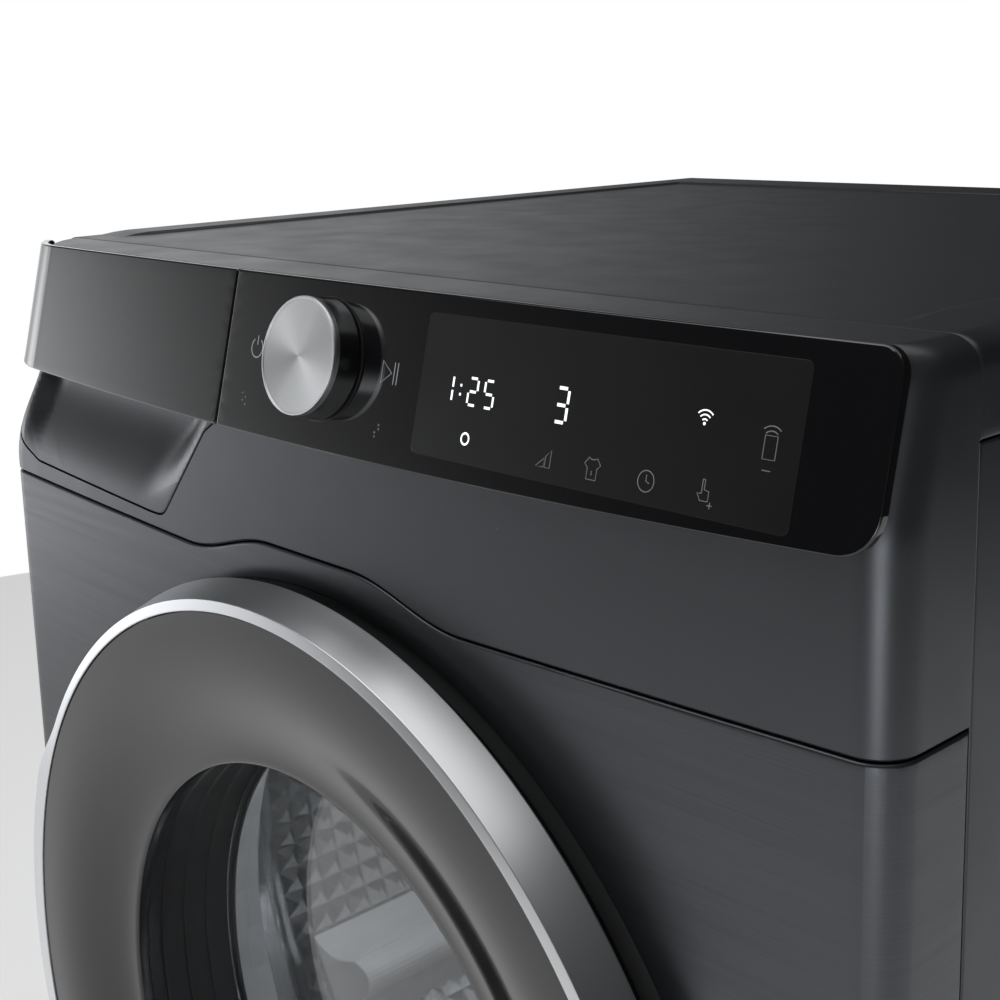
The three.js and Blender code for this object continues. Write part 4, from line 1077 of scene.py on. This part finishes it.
def build_marks():
    power = [arc_points(0, 0, 0.5, 125, 415), [(0, 0.15), (0, 0.62)]]
    mark("mark_power", power, (-32.5, 816.5), 8.5, DIM, 0.55)
    play = [[(-0.5, -0.5), (-0.5, 0.5), (0.2, 0), (-0.5, -0.5)]] + [[(x, -0.5), (x, 0.5)] for x in (0.38, 0.62)]
    mark("mark_play_pause", play, (61.5, 816), 8.8, DIM, 0.5)
    digit("1", 96, 809.5, 10, "mark_time_hours", LIT, 1.0)
    mark("mark_time_colon", [[(0, 0.28), (0, 0.38)], [(0, 0.62), (0, 0.72)]], (105.5, 809.5), 10, LIT, 1.0)
    digit("2", 110, 809.5, 10, "mark_time_tens", LIT, 1.0)
    digit("5", 119, 809.5, 10, "mark_time_units", LIT, 1.0)
    digit("3", 156.5, 809.4, 12, "mark_level", LIT, 1.2)
    mark("mark_round", [arc_points(0, 0, 0.5, 0, 360, 24)], (112, 796.8), 4.2, LIT, 0.8)
    wedge = [[(-0.5, -0.5), (0.1, -0.5), (0.1, 0), (-0.5, -0.5)],
             [(0.2, -0.5), (0.6, -0.5), (0.6, 0.5), (0.2, 0.1), (0.2, -0.5)]]
    mark("mark_wedge", wedge, (154.4, 796), 6.4, MUTED, 0.4)
    half = [(0.12, 0.42), (0.25, 0.5), (0.5, 0.2), (0.3, 0.02), (0.3, -0.5)]
    mirrored = [(-x, z) for x, z in half]
    shirt = [mirrored[2::-1] + half + mirrored[:1:-1], [(0, -0.1), (0, -0.3)]]
    mark("mark_garment", shirt, (178.8, 795.8), 7.6, MUTED, 0.4)
    clock = [arc_points(0, 0, 0.5, 0, 360, 24), [(0, 0.3), (0, 0), (0.22, -0.08)]]
    mark("mark_clock", clock, (203.9, 795.5), 7.2, MUTED, 0.4)
    hand = [[(-0.15, 0.6), (-0.15, -0.1)],
            [(-0.15, 0.6), (0, 0.6), (0, 0.1), (0.3, 0.05), (0.3, -0.45), (-0.2, -0.45), (-0.42, -0.1),
             (-0.15, -0.1)], [(0.3, -0.62), (0.62, -0.62)], [(0.46, -0.46), (0.46, -0.78)]]
    mark("mark_hand", hand, (229, 796), 6.6, MUTED, 0.4)
    waves = [arc_points(0, -0.4, r, 45, 135, 10) for r in (0.3, 0.6, 0.9)]
    waves += [arc_points(0, -0.4, 0.07, 0, 360, 8)]
    mark("mark_waves", waves, (224.8, 819.5), 4.9, LIT, 0.5)
    phone = [[(-0.28, -0.5), (0.28, -0.5), (0.28, 0.35), (-0.28, 0.35), (-0.28, -0.5)]]
    phone += [arc_points(0, 0.1, r, 50, 130, 8) for r in (0.42, 0.6)]
    mark("mark_remote", phone, (252.2, 814.2), 8.8, MUTED, 0.4)
    mark("mark_dash", [[(-0.5, 0), (0.5, 0)]], (252, 806.3), 3.4, MUTED, 0.35)
    dots("mark_dots_left", [(-38.5 + 2.2 * (k % 2) + 0.2 * k, 796 - 1.6 * k) for k in range(4)], 0.34, MUTED)
    dots("mark_dots_right", [(60 - 1.0 * k + 1.2 * (k % 2), 795 - 1.6 * k) for k in range(4)], 0.34, MUTED)


# ---------- what stays from the frame
def dress_frame_nodes():
    """Materials, and a small bevel on the square edges, for the frame's own nodes that stay in view."""
    finishes = {
        "graphite_casing": FRONT, "graphite_cabinet": CABINET, "black_glass": BLACK,
        "black_plastic": DARK_PLASTIC, "base_plastic": BASE_PLASTIC, "satin_metal": RING_METAL,
        "clear_glass": GLASS, "stainless": STEEL,
        "zinc_steel": ZINC, "grey_plastic": GREY_PLASTIC, "white_plastic": WHITE_PLASTIC, "rubber": RUBBER,
        "felt": FELT, "fins": FINS, "compressor_paint": ENAMEL, "copper": COPPER,
    }
    slots = {row["node"]: row["material_slot"] for row in frame["record"]["subparts"]}
    for name, node in frame["nodes"].items():
        node.data.materials.clear()
        node.data.materials.append(finishes[slots[name]])
        bevel = node.modifiers.new("edge", "BEVEL")
        bevel.width = 0.4 * MM
        bevel.segments = 2
        bevel.limit_method = "ANGLE"
        bevel.angle_limit = math.radians(40)


# ---------- studio
def build_camera():
    yaw, pitch, roll = math.radians(47.63), math.radians(11.38), math.radians(-1.58)
    eye = Vector((0.556, -0.676, 0.930))
    turn = Matrix(((math.cos(yaw), math.sin(yaw), 0), (-math.sin(yaw), math.cos(yaw), 0), (0, 0, 1)))
    nod = Matrix(((1, 0, 0), (0, math.cos(pitch), -math.sin(pitch)), (0, math.sin(pitch), math.cos(pitch))))
    tip = Matrix(((math.cos(roll), 0, math.sin(roll)), (0, 1, 0), (-math.sin(roll), 0, math.cos(roll))))
    right, forward, up = tip @ nod @ turn
    data = bpy.data.cameras.new("studio_camera")
    data.lens = 56.8
    data.shift_y = -0.1
    camera = new_object("studio_camera", data)
    camera.matrix_world = Matrix((
        (right.x, up.x, -forward.x, eye.x), (right.y, up.y, -forward.y, eye.y),
        (right.z, up.z, -forward.z, eye.z), (0, 0, 0, 1)))
    bpy.context.scene.camera = camera


FLOOR_R = 2.4                       # metres


def build_floor():
    m = Nodes("studio_floor", (0.92, 0.92, 0.92), 0.8)
    m.vary("Base Color", m.mix(m.noise(3), (0.88, 0.88, 0.88), (0.92, 0.92, 0.92)))
    m.shader.inputs["Emission Color"].default_value = (1, 1, 1, 1)
    m.set(emission_strength=0.42)
    mesh = bpy.data.meshes.new("studio_floor")
    edge = [(x, y, 0) for x, y in circle(0, 0, FLOOR_R)]
    mesh.from_pydata(edge, [], [tuple(range(96))])
    mesh.materials.append(m.material)
    floor = new_object("studio_floor", mesh)


def arithmetic(tree, operation, value, number):
    node = tree.nodes.new("ShaderNodeMath")
    node.operation = operation
    node.inputs[1].default_value = number
    tree.links.new(value, node.inputs[0])
    return node


def lobe(tree, direction, power):
    """Brightness that falls away from one direction of the surroundings."""
    coords = tree.nodes.new("ShaderNodeTexCoord")
    dot = tree.nodes.new("ShaderNodeVectorMath")
    dot.operation = "DOT_PRODUCT"
    tree.links.new(coords.outputs["Generated"], dot.inputs[0])
    dot.inputs[1].default_value = Vector(direction).normalized()
    clipped = arithmetic(tree, "MAXIMUM", dot.outputs["Value"], 0).outputs[0]
    return arithmetic(tree, "POWER", clipped, power).outputs[0]


WORLD_LOBES = (((-0.965, -0.26, -0.03), 60.0, 2.1), ((-0.95, -0.27, -0.25), 14.0, 1.5),
               ((-0.9, 0.42, 0.1), 18.0, 1.0), ((0.45, -0.82, -0.3), 32.0, 5.0), ((0, -0.2, 1), 3.0, 0.14))
WORLD_BASE = 0.02


def build_world():
    world = bpy.data.worlds.new("studio")
    bpy.context.scene.world = world
    world.use_nodes = True
    tree = world.node_tree
    tree.nodes.clear()
    total = None
    for direction, power, strength in WORLD_LOBES:
        scale = arithmetic(tree, "MULTIPLY_ADD", lobe(tree, direction, power), strength)
        scale.inputs[2].default_value = WORLD_BASE
        if total is not None:
            tree.links.new(total, scale.inputs[2])
        total = scale.outputs[0]
    studio = tree.nodes.new("ShaderNodeBackground")
    studio.inputs["Color"].default_value = (0.97, 0.985, 1.0, 1)
    tree.links.new(total, studio.inputs["Strength"])
    white = tree.nodes.new("ShaderNodeBackground")
    white.inputs["Color"].default_value = (1, 1, 1, 1)
    path = tree.nodes.new("ShaderNodeLightPath")
    mix = tree.nodes.new("ShaderNodeMixShader")
    output = tree.nodes.new("ShaderNodeOutputWorld")
    tree.links.new(path.outputs["Is Camera Ray"], mix.inputs["Fac"])
    tree.links.new(studio.outputs[0], mix.inputs[1])
    tree.links.new(white.outputs[0], mix.inputs[2])
    tree.links.new(mix.outputs[0], output.inputs["Surface"])


def area_light(name, place, target, size, watts):
    data = bpy.data.lights.new(name, "AREA")
    data.shape = "RECTANGLE"
    data.size, data.size_y = size
    data.energy = watts
    light = new_object(name, data)
    light.location = place
    light.rotation_euler = (Vector(target) - Vector(place)).to_track_quat("-Z", "Y").to_euler()


def drum_light():
    """Lamp of the drum, just inside its mouth."""
    data = bpy.data.lights.new("drum_lamp_glow", "POINT")
    data.energy = 3.0
    data.shadow_soft_size = 0.02
    new_object("drum_lamp_glow", data).location = (-0.02, -0.15, 0.66)


def build_lights():
    drum_light()
    area_light("key_above", (-0.8, -1.2, 2.6), (0, 0, 0.6), (1.6, 1.2), 10)
    area_light("fill_floor", (0, 0, 3.2), (0, 0, 0), (3.0, 3.0), 24)


build_camera()
build_world()
build_lights()
build_floor()
dress_frame_nodes()
build_front_panel()
build_fascia()
build_top_cover()
build_side_panels()
build_rear_panel()
build_glass()
build_display()
build_drawer()
build_knob()
build_door_ring()
build_door_dish()
build_door_liner()
build_door_window()
build_drum()
build_marks()
weigh_normals()

bpy.context.scene.view_settings.view_transform = "Standard"
